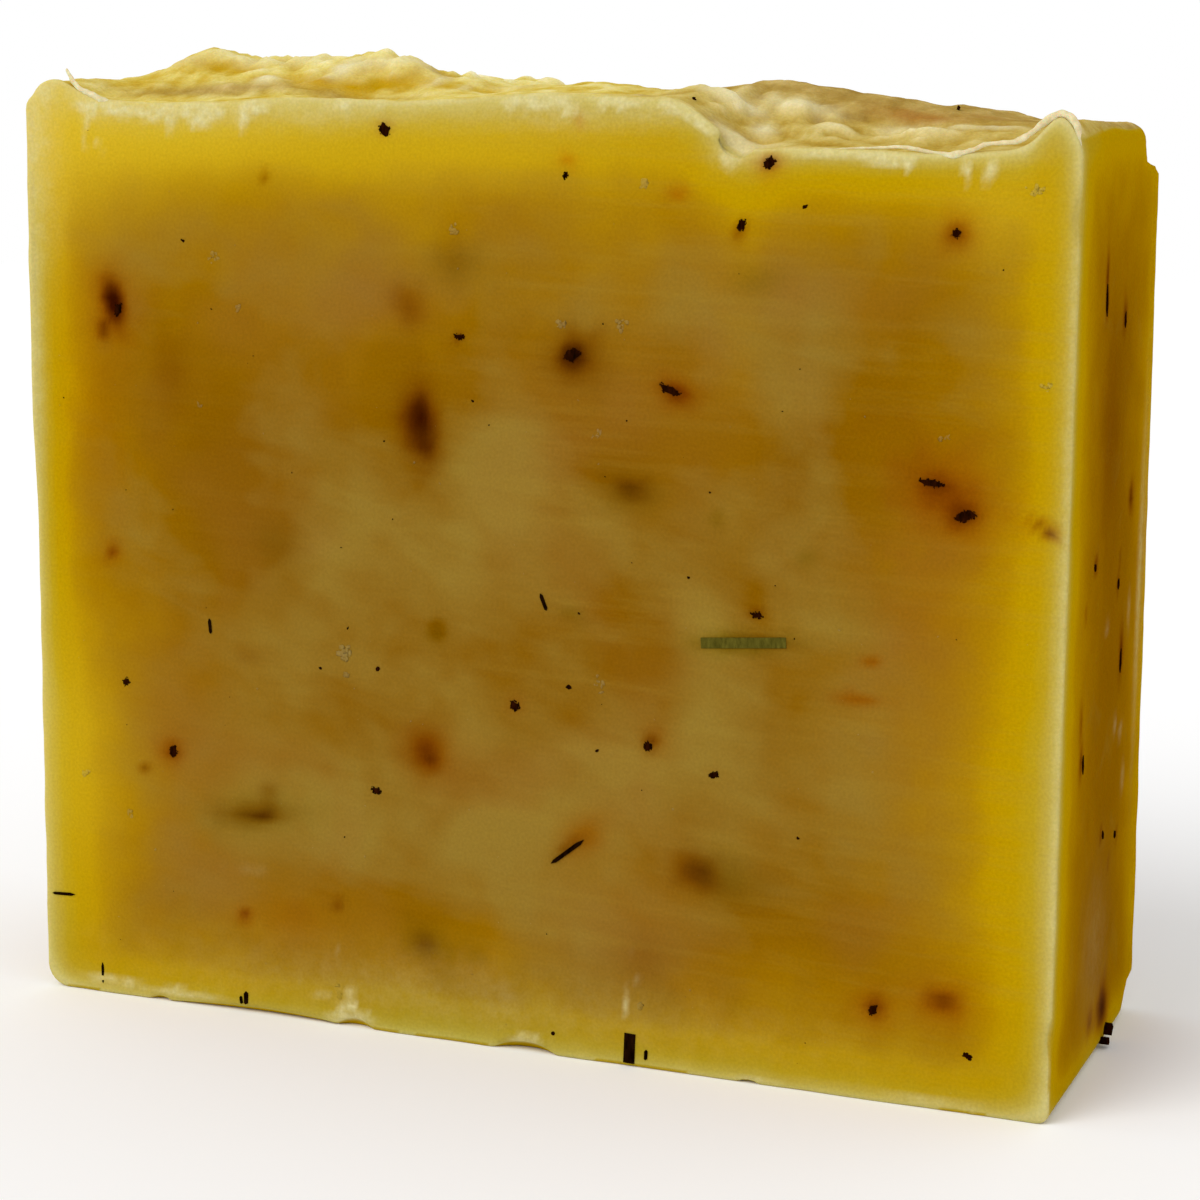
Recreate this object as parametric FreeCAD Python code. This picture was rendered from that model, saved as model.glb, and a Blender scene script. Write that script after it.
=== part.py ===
import FreeCAD, Part
import math
import os

# A bar of handmade herb soap: one slice, cut by wire from a loaf that was poured in a box mould.
# X runs across the mould, Y through the slice and Z up from the mould's floor, in millimetres.
# The origin is on the base, half way across the mould and half way through the slice.
# The front and back are wire cuts, the two ends and the base took their form from the mould,
# and the top is the crust as it set, with lumps, a torn shoulder and a lip along each wall.

# Slice
loaf_width = 76.0
slice_thickness = 26.0
cut_wedge = 2.4
mould_corner_left = 1.8
mould_corner_right = 0.9

# Crust along the front cut, and along the ridge behind it
front_height_left = 65.3
front_height_right = 61.7
front_wave_height = 0.16
front_wave_length = 18.0
front_wave_top = 22.0
shoulder_from_left_wall = 52.0
shoulder_run = 6.5
ridge_height_left = 69.4
ridge_height_right = 63.8
ridge_behind_front = 12.5
back_drop = 3.4
left_lip_inset = 2.1
left_lip_width = 2.4
left_lip_rise = 1.5
right_lip_inset = 1.5
right_lip_width = 1.4
right_lip_rise = 1.8
crust_margin = 4.0
crust_step = 2.0

# Lumps and hollows of the crust: from the left wall, behind the front cut, rise, radius
crust_lumps = (
    (0.5, 11.0, -2.2, 5.2),
    (8.0, 12.5, 1.2, 3.4),
    (15.5, 14.0, 0.7, 2.6),
    (22.0, 13.0, 1.3, 4.0),
    (25.5, 10.5, 0.6, 1.9),
    (25.0, 5.5, -1.0, 3.4),
    (33.0, 8.0, -0.5, 2.6),
    (40.0, 12.0, 0.4, 2.8),
    (52.5, 12.5, 1.4, 5.0),
    (60.0, 12.5, 0.6, 4.0),
    (49.5, 5.0, 0.5, 2.2),
    (61.5, 6.5, -0.6, 2.4),
    (66.0, 15.0, 0.5, 3.0),
    (31.0, 21.0, 0.9, 3.6),
    (12.0, 21.0, -0.8, 3.6),
    (57.0, 21.5, -0.7, 3.0),
    (76.0, 23.5, 1.6, 4.5),
)

# Burr that the wire dragged out along the back of the right wall
burr_base_height = 16.0
burr_peak_height = 30.0
burr_top_height = 41.0
burr_reach = 2.3
burr_reach_below = 1.3
burr_reach_above = 1.7
burr_reach_at_ends = 0.1
burr_width = 3.4
burr_tip_inset = 1.0
burr_foot = 0.6

# Round scallops in the front base edge: from the left wall, length, height, depth
base_scallops = (
    (25.9, 3.2, 0.9, 0.8),
    (39.2, 5.0, 0.9, 1.1),
)

# Flat-sided nicks: from the left wall or the base, length, size on each face
base_nicks = (
    (9.8, 1.9, 0.4, 0.6),
    (18.2, 17.0, 0.55, 0.8),
    (55.6, 1.6, 0.35, 0.5),
)
wall_nicks = (
    (5.6, 3.0, 0.5, 0.5),
    (57.4, 4.0, 0.6, 0.5),
)
back_nick_height = 63.9
back_nick_length = 4.6
back_nick_on_back = 1.5
back_nick_on_wall = 3.4
nick_deepest_at = 0.42
nick_overcut = 0.07
shoulder_pit_radius = 1.3
shoulder_pit_from_left_wall = 53.8
shoulder_pit_above_edge = 0.26

# Corner of base, back and right wall, worn flat: reach along each of its three edges
worn_corner_up = 2.8
worn_corner_across = 2.2
worn_corner_along = 3.0

# Dried herb cast into the soap
herb_depth = 0.45
herb_proud = 0.06
green_stem_length = 5.9
green_stem_diameter = 0.75
green_stem_sunk = 0.1
green_stem_from_right_wall = 21.2
green_stem_height = 29.9
green_stem_tilt = 4.0
edge_stem_width = 0.8
edge_stem_length = 2.1
edge_stem_from_left_wall = 47.1
edge_stem_above_base = 0.25
edge_stem_tilt = -2.0

# Leaf flecks in the front cut, set by the left wall and the base: across, up, length, width, angle
flecks_left_and_base = (
    (11.3, 18.9, 1.00, 0.62, 80.0),
    (38.4, 24.4, 0.75, 0.55, 140.0),
    (42.5, 48.4, 1.30, 0.80, 15.0),
    (34.2, 49.4, 0.75, 0.26, 172.0),
    (48.2, 22.4, 0.62, 0.55, 30.0),
    (52.9, 20.9, 0.60, 0.30, 10.0),
    (27.8, 17.5, 0.75, 0.42, 165.0),
    (7.4, 23.7, 0.55, 0.45, 0.0),
    (7.3, 50.7, 0.90, 0.48, 65.0),
)

# Leaf flecks in the front cut, set by the left wall and the top of the front cut
flecks_left_and_top = (
    (28.6, 2.0, 0.95, 0.75, 120.0),
    (54.2, 5.0, 0.80, 0.50, 60.0),
    (41.9, 5.3, 0.34, 0.28, 0.0),
    (56.0, 0.9, 0.85, 0.60, 30.0),
)

# Leaf flecks in the front cut, set by the right wall and the base
flecks_right_and_base = (
    (26.6, 46.3, 1.55, 0.50, 157.0),
    (8.9, 41.0, 1.60, 0.42, 172.0),
    (6.6, 39.0, 1.50, 0.66, 14.0),
    (20.3, 31.8, 0.80, 0.30, 170.0),
    (11.8, 6.2, 0.75, 0.55, 60.0),
    (5.4, 3.9, 0.55, 0.26, 145.0),
    (7.7, 56.6, 0.60, 0.50, 20.0),
)

# Stem slivers in the front cut, set by the left wall and the base
slivers_left_and_base = (
    (42.4, 14.6, 3.10, 0.30, 38.0),
    (40.5, 31.7, 1.25, 0.26, 112.0),
    (14.5, 28.3, 1.10, 0.24, 95.0),
    (1.6, 7.2, 2.00, 0.22, 2.0),
    (4.9, 1.5, 1.60, 0.20, 91.0),
)

# Stem bits that the base edge cut through, set by the left wall and the base
edge_bits = (
    (17.1, 1.1, 1.00, 0.34, 88.0),
    (16.7, 0.9, 0.60, 0.24, 97.0),
    (48.3, 1.0, 0.75, 0.24, 86.0),
)

# Leaf bits in the right wall, set by the front cut and the base
wall_bits = (
    (9.1, 52.4, 2.10, 0.50, 95.0),
    (15.6, 51.0, 1.10, 0.55, 88.0),
    (8.5, 35.1, 0.55, 0.60, 60.0),
    (16.8, 33.0, 0.75, 0.55, 80.0),
    (18.6, 27.4, 1.70, 0.60, 88.0),
    (6.8, 22.3, 1.30, 0.45, 95.0),
    (14.6, 15.9, 0.75, 0.50, 125.0),
    (19.0, 15.0, 0.65, 0.60, 140.0),
)

# Leaf bits that stand out of the base edge of the right wall
corner_bits = (
    (18.3, 1.05, 1.15, 0.80, 20.0),
    (17.2, 0.55, 0.90, 0.60, 150.0),
)
corner_bit_proud = 0.5

half_width = loaf_width / 2.0
front_y = -slice_thickness / 2.0


def smooth_step(t):
    """Rise from 0 to 1 with level ends."""
    t = min(1.0, max(0.0, t))
    return t * t * (3.0 - 2.0 * t)


def bell(distance, width):
    """A round bump that is 1 at its middle."""
    return math.exp(-(distance / width) ** 2)


def back_y(z):
    """The back cut leans: the slice is thicker at its base than at its top."""
    lean = cut_wedge * (0.5 - z / front_height_left)
    return front_y + slice_thickness + lean


def front_edge_height(x):
    """Top of the front cut: level, then down a torn shoulder, with a lip at each wall."""
    across = x + half_width
    torn = smooth_step((across - shoulder_from_left_wall) / shoulder_run + 0.5)
    level = front_height_left + (front_height_right - front_height_left) * torn
    wave = front_wave_height * math.cos(2.0 * math.pi * (across - front_wave_top) / front_wave_length)
    left_lip = left_lip_rise * bell(across - left_lip_inset, left_lip_width)
    right_lip = right_lip_rise * bell(loaf_width - across - right_lip_inset, right_lip_width)
    return level + wave + left_lip + right_lip


def ridge_height(x):
    """The ridge along the middle of the crust falls from the left wall to the right one."""
    share = (x + half_width) / loaf_width
    return ridge_height_left + (ridge_height_right - ridge_height_left) * share


def crust_height(x, y):
    """Height of the crust: front edge up to the ridge, down to the back, plus the lumps."""
    behind = y - front_y
    front = front_edge_height(x)
    ridge = ridge_height(x)
    if behind < ridge_behind_front:
        height = front + (ridge - front) * smooth_step(behind / ridge_behind_front)
    else:
        run = slice_thickness - ridge_behind_front
        height = ridge - back_drop * ((behind - ridge_behind_front) / run) ** 3
    for across, depth, rise, radius in crust_lumps:
        distance = math.hypot(x + half_width - across, behind - depth)
        height += rise * bell(distance, radius)
    return height


def crust_grid():
    """Where the crust's surface starts, its steps, and its height at each point of the grid."""
    width = loaf_width + 2.0 * crust_margin
    depth = slice_thickness + cut_wedge + 2.0 * crust_margin
    columns = max(2, math.ceil(width / crust_step))
    rows = max(2, math.ceil(depth / crust_step))
    x_start = -half_width - crust_margin
    y_start = front_y - crust_margin
    x_step = width / columns
    y_step = depth / rows
    heights = [
        [crust_height(x_start + i * x_step, y_start + j * y_step) for j in range(rows + 1)]
        for i in range(columns + 1)
    ]
    return x_start, x_step, y_start, y_step, heights


def mould_section(top):
    """Outline of the mould in the front cut up to top, with its two floor corners rounded."""
    left = mould_corner_left
    right = mould_corner_right
    slant = math.sqrt(0.5)

    def point(x, z):
        return FreeCAD.Vector(x, front_y, z)

    edges = [
        Part.LineSegment(point(-half_width + left, 0.0), point(half_width - right, 0.0)),
        Part.Arc(
            point(half_width - right, 0.0),
            point(half_width - right + right * slant, right - right * slant),
            point(half_width, right),
        ),
        Part.LineSegment(point(half_width, right), point(half_width, top)),
        Part.LineSegment(point(half_width, top), point(-half_width, top)),
        Part.LineSegment(point(-half_width, top), point(-half_width, left)),
        Part.Arc(
            point(-half_width, left),
            point(-half_width + left - left * slant, left - left * slant),
            point(-half_width + left, 0.0),
        ),
    ]
    return Part.Wire([edge.toShape() for edge in edges])


def poured_slice(top):
    """The loaf between its two wire cuts, up to top, before the crust is shaped."""
    length = slice_thickness + cut_wedge + crust_margin
    loaf = Part.Face(mould_section(top)).extrude(FreeCAD.Vector(0.0, length, 0.0))
    over = top + crust_margin
    corners = [
        FreeCAD.Vector(-loaf_width, back_y(-crust_margin), -crust_margin),
        FreeCAD.Vector(-loaf_width, back_y(over), over),
        FreeCAD.Vector(-loaf_width, front_y + 2.0 * length, over),
        FreeCAD.Vector(-loaf_width, front_y + 2.0 * length, -crust_margin),
    ]
    outline = Part.makePolygon(corners + corners[:1])
    return loaf.cut(Part.Face(outline).extrude(FreeCAD.Vector(2.0 * loaf_width, 0.0, 0.0)))


def slice_under_crust():
    """The slice cut off at its crust, one smooth surface through the heights of the grid."""
    x_start, x_step, y_start, y_step, heights = crust_grid()
    top = max(max(row) for row in heights) + crust_margin
    lowest = min(min(row) for row in heights)
    surface = Part.BSplineSurface()
    surface.interpolate(heights, x_start, x_step, y_start, y_step)
    above = surface.toShape().extrude(FreeCAD.Vector(0.0, 0.0, top + crust_margin - lowest))
    return poured_slice(top).cut(above)


def edge_scallop(corner, out_a, out_b, length, size_a, size_b):
    """A shell-shaped chip in a straight edge, cut by a ball that lies mostly outside.

    The ball's centre and radius are those that give the chip its length along the edge, its
    reach size_a against out_a and its reach size_b against out_b.
    """
    half = length / 2.0
    off_a = (half ** 2 - size_a ** 2) / (2.0 * size_a)
    off_b = (half ** 2 - size_b ** 2) / (2.0 * size_b)
    radius = math.sqrt(off_a ** 2 + off_b ** 2 + half ** 2)
    return Part.makeSphere(radius, corner + out_a * off_a + out_b * off_b)


def wedge(points):
    """The solid with four corners and four flat sides."""
    a, b, c, d = points
    corners = ((a, b, c), (a, b, d), (b, c, d), (a, c, d))
    sides = [Part.Face(Part.makePolygon([p, q, r, p])) for p, q, r in corners]
    return Part.makeSolid(Part.makeShell(sides))


def edge_nick(corner, along, out_a, out_b, length, size_a, size_b):
    """A flat-sided nick in a straight edge, deepest at nick_deepest_at of its length."""
    start = corner - along * (nick_deepest_at * length)
    end = start + along * length
    outside = (out_a + out_b) * (nick_overcut * math.sqrt(0.5))
    return wedge([start + outside, end + outside, corner - out_a * size_a, corner - out_b * size_b])


def worn_edges():
    """Scallops and nicks along the front base edge and along both edges of the right wall."""
    across = FreeCAD.Vector(1.0, 0.0, 0.0)
    back = FreeCAD.Vector(0.0, 1.0, 0.0)
    up = FreeCAD.Vector(0.0, 0.0, 1.0)
    chips = []
    for from_left, length, height, depth in base_scallops:
        corner = FreeCAD.Vector(from_left - half_width, front_y, 0.0)
        chips.append(edge_scallop(corner, -up, -back, length, height, depth))
    for from_left, length, height, depth in base_nicks:
        corner = FreeCAD.Vector(from_left - half_width, front_y, 0.0)
        chips.append(edge_nick(corner, across, -up, -back, length, height, depth))
    for height, length, on_front, on_wall in wall_nicks:
        corner = FreeCAD.Vector(half_width, front_y, height)
        chips.append(edge_nick(corner, up, across, -back, length, on_front, on_wall))
    corner = FreeCAD.Vector(half_width, back_y(back_nick_height), back_nick_height)
    chips.append(
        edge_nick(corner, up, across, back, back_nick_length, back_nick_on_back, back_nick_on_wall)
    )
    return chips


def shoulder_pit():
    """The crumbled pit at the foot of the torn shoulder."""
    x = shoulder_pit_from_left_wall - half_width
    middle = FreeCAD.Vector(x, front_y, front_edge_height(x) + shoulder_pit_above_edge)
    return Part.makeSphere(shoulder_pit_radius, middle)


def worn_corner():
    """What is gone of the corner between base, back and right wall.

    The wedge's flat side passes through the point that the wear reaches on each of the three
    edges, and is three times as wide as the worn face, so that it cuts the whole corner.
    """
    corner = FreeCAD.Vector(half_width, back_y(0.0), 0.0)
    reached = [
        corner + FreeCAD.Vector(-worn_corner_across, 0.0, 0.0),
        corner + FreeCAD.Vector(0.0, -worn_corner_along, 0.0),
        corner + FreeCAD.Vector(0.0, 0.0, worn_corner_up),
    ]
    middle = (reached[0] + reached[1] + reached[2]) / 3.0
    wide = [middle + (point - middle) * 3.0 for point in reached]
    outside = FreeCAD.Vector(worn_corner_across, worn_corner_along, -worn_corner_up)
    return wedge([corner + outside] + wide)


def wire_burr():
    """A thin curl of soap behind the right wall, tapering to nothing up and down."""

    def section(z, reach):
        back = back_y(z)
        corners = [
            FreeCAD.Vector(half_width, back - burr_foot, z),
            FreeCAD.Vector(half_width - burr_tip_inset, back + reach, z),
            FreeCAD.Vector(half_width - burr_width, back - burr_foot, z),
        ]
        return Part.makePolygon(corners + corners[:1])

    sections = [
        section(burr_base_height, burr_reach_at_ends),
        section((burr_base_height + burr_peak_height) / 2.0, burr_reach_below),
        section(burr_peak_height, burr_reach),
        section((burr_peak_height + burr_top_height) / 2.0, burr_reach_above),
        section(burr_top_height, burr_reach_at_ends),
    ]
    return Part.makeLoft(sections, True, True)


def on_front(across, height, angle):
    """Placement on the front cut: the piece's own Z points out of the face."""
    axes = (
        FreeCAD.Vector(1.0, 0.0, 0.0),
        FreeCAD.Vector(0.0, 0.0, 1.0),
        FreeCAD.Vector(0.0, -1.0, 0.0),
    )
    turn = FreeCAD.Rotation(*axes, "ZXY")
    spin = FreeCAD.Rotation(FreeCAD.Vector(0.0, 0.0, 1.0), angle)
    return FreeCAD.Placement(FreeCAD.Vector(across - half_width, front_y, height), turn * spin)


def on_right_wall(behind, height, angle):
    """Placement on the right wall: the piece's own Z points out of the face."""
    axes = (
        FreeCAD.Vector(0.0, 1.0, 0.0),
        FreeCAD.Vector(0.0, 0.0, 1.0),
        FreeCAD.Vector(1.0, 0.0, 0.0),
    )
    turn = FreeCAD.Rotation(*axes, "ZXY")
    spin = FreeCAD.Rotation(FreeCAD.Vector(0.0, 0.0, 1.0), angle)
    return FreeCAD.Placement(FreeCAD.Vector(half_width, front_y + behind, height), turn * spin)


def leaf_fleck(length, width, proud=herb_proud):
    """A scrap of dried leaf: an uneven five-sided flake, sunk in the soap to herb_depth."""
    outline = (
        (-0.5 * length, -0.08 * width),
        (-0.12 * length, -0.5 * width),
        (0.5 * length, -0.15 * width),
        (0.22 * length, 0.5 * width),
        (-0.28 * length, 0.38 * width),
    )
    corners = [FreeCAD.Vector(u, v, -herb_depth) for u, v in outline]
    face = Part.Face(Part.makePolygon(corners + corners[:1]))
    return face.extrude(FreeCAD.Vector(0.0, 0.0, herb_depth + proud))


def stem_sliver(length, width):
    """A split stem: long, six-sided and pointed at both ends."""
    outline = (
        (-0.5 * length, 0.0),
        (-0.38 * length, -0.5 * width),
        (0.36 * length, -0.5 * width),
        (0.5 * length, 0.05 * width),
        (0.3 * length, 0.5 * width),
        (-0.4 * length, 0.42 * width),
    )
    corners = [FreeCAD.Vector(u, v, -herb_depth) for u, v in outline]
    face = Part.Face(Part.makePolygon(corners + corners[:1]))
    return face.extrude(FreeCAD.Vector(0.0, 0.0, herb_depth + herb_proud))


def green_stem():
    """A round green stem that the wire split along its length, so that its cut side shows.

    Its middle line lies green_stem_sunk behind the front cut, and what would stand further out
    than herb_proud is gone.
    """
    length = green_stem_length
    diameter = green_stem_diameter
    start = FreeCAD.Vector(-length / 2.0, 0.0, -green_stem_sunk)
    stem = Part.makeCylinder(diameter / 2.0, length, start, FreeCAD.Vector(1.0, 0.0, 0.0))
    split_off = Part.makeBox(
        2.0 * length, 2.0 * diameter, diameter, FreeCAD.Vector(-length, -diameter, herb_proud)
    )
    stem = stem.cut(split_off)
    across = loaf_width - green_stem_from_right_wall
    stem.Placement = on_front(across, green_stem_height, green_stem_tilt) * stem.Placement
    return stem


def edge_stem():
    """A dark stem that the base edge cut across: square, and sunk to half its width."""
    stem = Part.makeBox(
        edge_stem_width,
        edge_stem_length,
        edge_stem_width / 2.0 + herb_proud,
        FreeCAD.Vector(-edge_stem_width / 2.0, -edge_stem_length / 2.0, -edge_stem_width / 2.0),
    )
    height = edge_stem_above_base + edge_stem_length / 2.0
    stem.Placement = on_front(edge_stem_from_left_wall, height, edge_stem_tilt) * stem.Placement
    return stem


def leaf_flecks_front():
    """Leaf flecks in the front cut, each kept by the wall, base or crust that it lies near."""
    flecks = []
    for across, height, length, width, angle in flecks_left_and_base:
        fleck = leaf_fleck(length, width)
        fleck.Placement = on_front(across, height, angle)
        flecks.append(fleck)
    for across, below, length, width, angle in flecks_left_and_top:
        fleck = leaf_fleck(length, width)
        height = front_edge_height(across - half_width) - below
        fleck.Placement = on_front(across, height, angle)
        flecks.append(fleck)
    for inset, height, length, width, angle in flecks_right_and_base:
        fleck = leaf_fleck(length, width)
        fleck.Placement = on_front(loaf_width - inset, height, angle)
        flecks.append(fleck)
    return flecks


def stem_slivers_front():
    """Split stems in the front cut."""
    slivers = []
    for across, height, length, width, angle in slivers_left_and_base:
        sliver = stem_sliver(length, width)
        sliver.Placement = on_front(across, height, angle)
        slivers.append(sliver)
    return slivers


def stem_bits_base_edge():
    """Stem bits that stand at the front base edge."""
    bits = [edge_stem()]
    for across, height, length, width, angle in edge_bits:
        bit = stem_sliver(length, width)
        bit.Placement = on_front(across, height, angle)
        bits.append(bit)
    return bits


def leaf_bits_right_wall():
    """Leaf bits in the right wall, long way up."""
    bits = []
    for behind, height, length, width, angle in wall_bits:
        bit = leaf_fleck(length, width)
        bit.Placement = on_right_wall(behind, height, angle)
        bits.append(bit)
    return bits


def leaf_bits_base_corner():
    """Two leaf bits that stand out of the right wall just above the base."""
    bits = []
    for behind, height, length, width, angle in corner_bits:
        bit = leaf_fleck(length, width, corner_bit_proud)
        bit.Placement = on_right_wall(behind, height, angle)
        bits.append(bit)
    return bits


def soap_bar(herbs):
    """The soap itself: the slice under its crust, worn at its edges, with a seat for each herb."""
    bar = slice_under_crust()
    bar = bar.fuse(wire_burr())
    bar = bar.cut(worn_edges() + [shoulder_pit(), worn_corner()])
    bar = bar.cut(herbs)
    return bar.removeSplitter()


herb_nodes = {
    "green_stem": [green_stem()],
    "leaf_flecks_front": leaf_flecks_front(),
    "stem_slivers_front": stem_slivers_front(),
    "stem_bits_base_edge": stem_bits_base_edge(),
    "leaf_bits_right_wall": leaf_bits_right_wall(),
    "leaf_bits_base_corner": leaf_bits_base_corner(),
}
all_herbs = [piece for pieces in herb_nodes.values() for piece in pieces]

nodes = {"soap_bar": soap_bar(all_herbs)}
for name, pieces in herb_nodes.items():
    nodes[name] = Part.makeCompound(pieces) if len(pieces) > 1 else pieces[0]

os.makedirs("parts", exist_ok=True)
for name, shape in nodes.items():
    shape.exportStep("parts/" + name + ".step")
    print(name, "solids", len(shape.Solids), "valid", shape.isValid(), "volume", round(shape.Volume, 3))
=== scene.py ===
import math
import bpy
import numpy as np
from mathutils import Euler, Matrix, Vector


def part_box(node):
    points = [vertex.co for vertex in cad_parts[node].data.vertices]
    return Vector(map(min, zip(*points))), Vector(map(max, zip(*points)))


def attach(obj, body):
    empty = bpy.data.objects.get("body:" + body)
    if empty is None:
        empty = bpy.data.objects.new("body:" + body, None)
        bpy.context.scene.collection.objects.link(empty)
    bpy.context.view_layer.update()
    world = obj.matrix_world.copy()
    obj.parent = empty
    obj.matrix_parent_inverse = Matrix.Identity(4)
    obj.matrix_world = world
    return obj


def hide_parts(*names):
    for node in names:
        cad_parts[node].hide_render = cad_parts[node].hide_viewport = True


# A bar of handmade herb soap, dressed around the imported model: the soap's skin with its crust,
# worn cut edges and buried herbs, the threads and crumbs that the wire left, and leaf dust.
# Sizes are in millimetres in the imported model's frame, and MM turns them into metres.

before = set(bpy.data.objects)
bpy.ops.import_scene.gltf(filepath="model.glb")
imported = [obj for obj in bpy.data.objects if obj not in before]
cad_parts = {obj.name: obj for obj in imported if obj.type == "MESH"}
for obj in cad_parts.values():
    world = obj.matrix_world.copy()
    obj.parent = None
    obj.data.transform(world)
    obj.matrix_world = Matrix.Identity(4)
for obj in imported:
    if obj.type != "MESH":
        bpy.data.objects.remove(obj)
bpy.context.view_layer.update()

MM = 0.001
bar_low, bar_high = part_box("soap_bar")

# Slice
half_width = bar_high.x / MM
front_y = bar_low.y / MM
loaf_width = 2.0 * half_width
slice_thickness = 26.0
cut_wedge = 2.4
mould_corner_left = 1.8
mould_corner_right = 0.9
wall_edge = 1.2
cut_edge = 0.24
cut_edge_change = 0.12
back_edge_share = 0.6

# Crust along the front cut, and along the ridge behind it
front_height_left = 65.3
front_height_right = 61.7
front_wave_height = 0.16
front_wave_length = 18.0
front_wave_top = 22.0
shoulder_from_left_wall = 52.0
shoulder_run = 6.5
ridge_height_left = 69.4
ridge_height_right = 63.8
ridge_behind_front = 12.5
back_drop = 3.4
left_lip_inset = 2.1
left_lip_width = 2.4
left_lip_rise = 1.5
right_lip_inset = 1.5
right_lip_width = 1.4
right_lip_rise = 1.8

# Lumps and hollows of the crust: from the left wall, behind the front cut, rise, radius
crust_lumps = (
    (0.5, 11, -2.2, 5.2), (8, 12.5, 1.2, 3.4), (15.5, 14, 0.7, 2.6), (22, 13, 1.3, 4),
    (25.5, 10.5, 0.6, 1.9), (25, 5.5, -1, 3.4), (33, 8, -0.5, 2.6), (40, 12, 0.4, 2.8),
    (52.5, 12.5, 1.4, 5), (60, 12.5, 0.6, 4), (49.5, 5, 0.5, 2.2), (61.5, 6.5, -0.6, 2.4),
    (66, 15, 0.5, 3), (31, 21, 0.9, 3.6), (12, 21, -0.8, 3.6), (57, 21.5, -0.7, 3),
    (76, 23.5, 1.6, 4.5),
)

# Burr that the wire dragged out along the back of the right wall: height, reach behind the cut
burr_profile = (
    (16, 0.1), (18, 0.7), (22.5, 1), (24, 1.6), (26.5, 2.2), (29.3, 2.6), (32, 2.5), (35, 2.2),
    (38, 1.7), (40, 1.1), (42, 0.1),
)
burr_width = 3.4
burr_tip_inset = 1.0
burr_foot = 0.6
burr_inset = 0.05

# The ways out of the bar
OUT_FRONT = (0.0, -1.0, 0.0)
OUT_BACK = (0.0, 1.0, 0.0)
OUT_RIGHT = (1.0, 0.0, 0.0)
OUT_BASE = (0.0, 0.0, -1.0)

# Chips in the base's front edge: from the left wall, length, height, depth. In the wall's front edge:
# height, length, reach on the front, reach on the wall. The nick in its back edge: length, reach on
# the wall, reach on the back. The worn corner's reach across, along and up.
base_chips = (
    (25.9, 3.2, 0.9, 0.8), (39.2, 5, 0.9, 1.1), (9.8, 1.9, 0.4, 0.6), (18.2, 17, 0.55, 0.8),
    (55.6, 1.6, 0.35, 0.5),
)
wall_chips = ((5.6, 3.0, 0.5, 0.5), (57.4, 4.0, 0.6, 0.5))
back_chip_height = 63.9
back_chip = (4.6, 3.4, 1.5)
chip_rim = 0.12
back_chip_rim = 0.9
worn_corner = (2.2, 3.0, 2.8)
worn_corner_rim = 0.35
shoulder_pit_radius = 1.3
shoulder_pit_x = 15.8
shoulder_pit_lift = 0.26

# Spots on the front cut over herbs that lie under it, by x and z. Here and in the lists that follow,
# an entry is its middle, half width, half height, strength and, where it leans, tilt in degrees.
dark_spots = (
    (-31, 51, 0.9, 1.7, 0.85, 12), (-32, 49.2, 0.6, 0.9, 0.5, 12), (-7.6, 51.4, 1.1, 1.6, 0.3, 32),
    (-4, 54.5, 1.5, 1.3, 0.16), (-6.8, 43.2, 1.25, 2.3, 0.62, 12), (-6.5, 43.9, 0.45, 0.9, 0.35, 15),
    (-6.1, 41.6, 0.5, 0.6, 0.25, 15), (8.7, 39.6, 1.3, 0.7, 0.42, -12), (4.7, 48.2, 1.7, 1.5, 0.5),
    (4.5, 48.4, 0.9, 0.6, 0.55, 10), (-6.4, 20.7, 1.2, 1.3, 0.36, -35), (-5.9, 20, 0.7, 0.5, 0.3, -35),
    (-20, 14.8, 2.5, 0.7, 0.45, 6), (-19.2, 14.9, 0.8, 0.4, 0.35), (-18.9, 16.6, 0.9, 0.7, 0.25, 30),
    (14, 14.2, 1.7, 1.2, 0.48, -10), (30.9, 7.4, 1.2, 0.7, 0.5), (26.3, 6.5, 0.7, 0.6, 0.45),
    (-6.4, 6.8, 1, 0.8, 0.22), (-20.3, 26.4, 1.4, 0.6, 0.12), (-20.9, 7.3, 0.45, 0.4, 0.45),
    (-13.3, 9, 0.45, 0.4, 0.4), (30.3, 56.6, 0.8, 0.7, 0.42), (18, 61, 0.6, 0.5, 0.6),
    (16.1, 56.7, 0.45, 0.7, 0.4, -30), (11.8, 46.1, 1.1, 0.5, 0.5, -20),
    (29.6, 40.8, 1.4, 0.8, 0.45, -12), (31.3, 39, 1.3, 0.9, 0.55), (10, 7.8, 2, 1.8, 0.16),
    (-26.5, 46.2, 1.5, 2.6, 0.14), (10.4, 22.7, 0.6, 0.6, 0.45), (4.3, 14.8, 1.2, 0.4, 0.35, 38),
    (-26.8, 18.9, 0.7, 0.6, 0.35), (17.6, 31.8, 0.6, 0.35, 0.35), (-31.6, 33.2, 0.8, 0.4, 0.35, 40),
    (36.6, 38.4, 1, 0.4, 0.65, -28), (-9.4, 63.3, 0.6, 0.5, 0.3), (-29.2, 17.3, 0.6, 0.3, 0.45),
    (-3.9, 49.4, 0.4, 0.3, 0.35), (16.8, 29.9, 3, 0.4, 0.3, 4), (-31.4, 51.6, 0.8, 0.9, 0.45),
    (-6.7, 44.6, 0.9, 1.2, 0.3),
)
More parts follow.
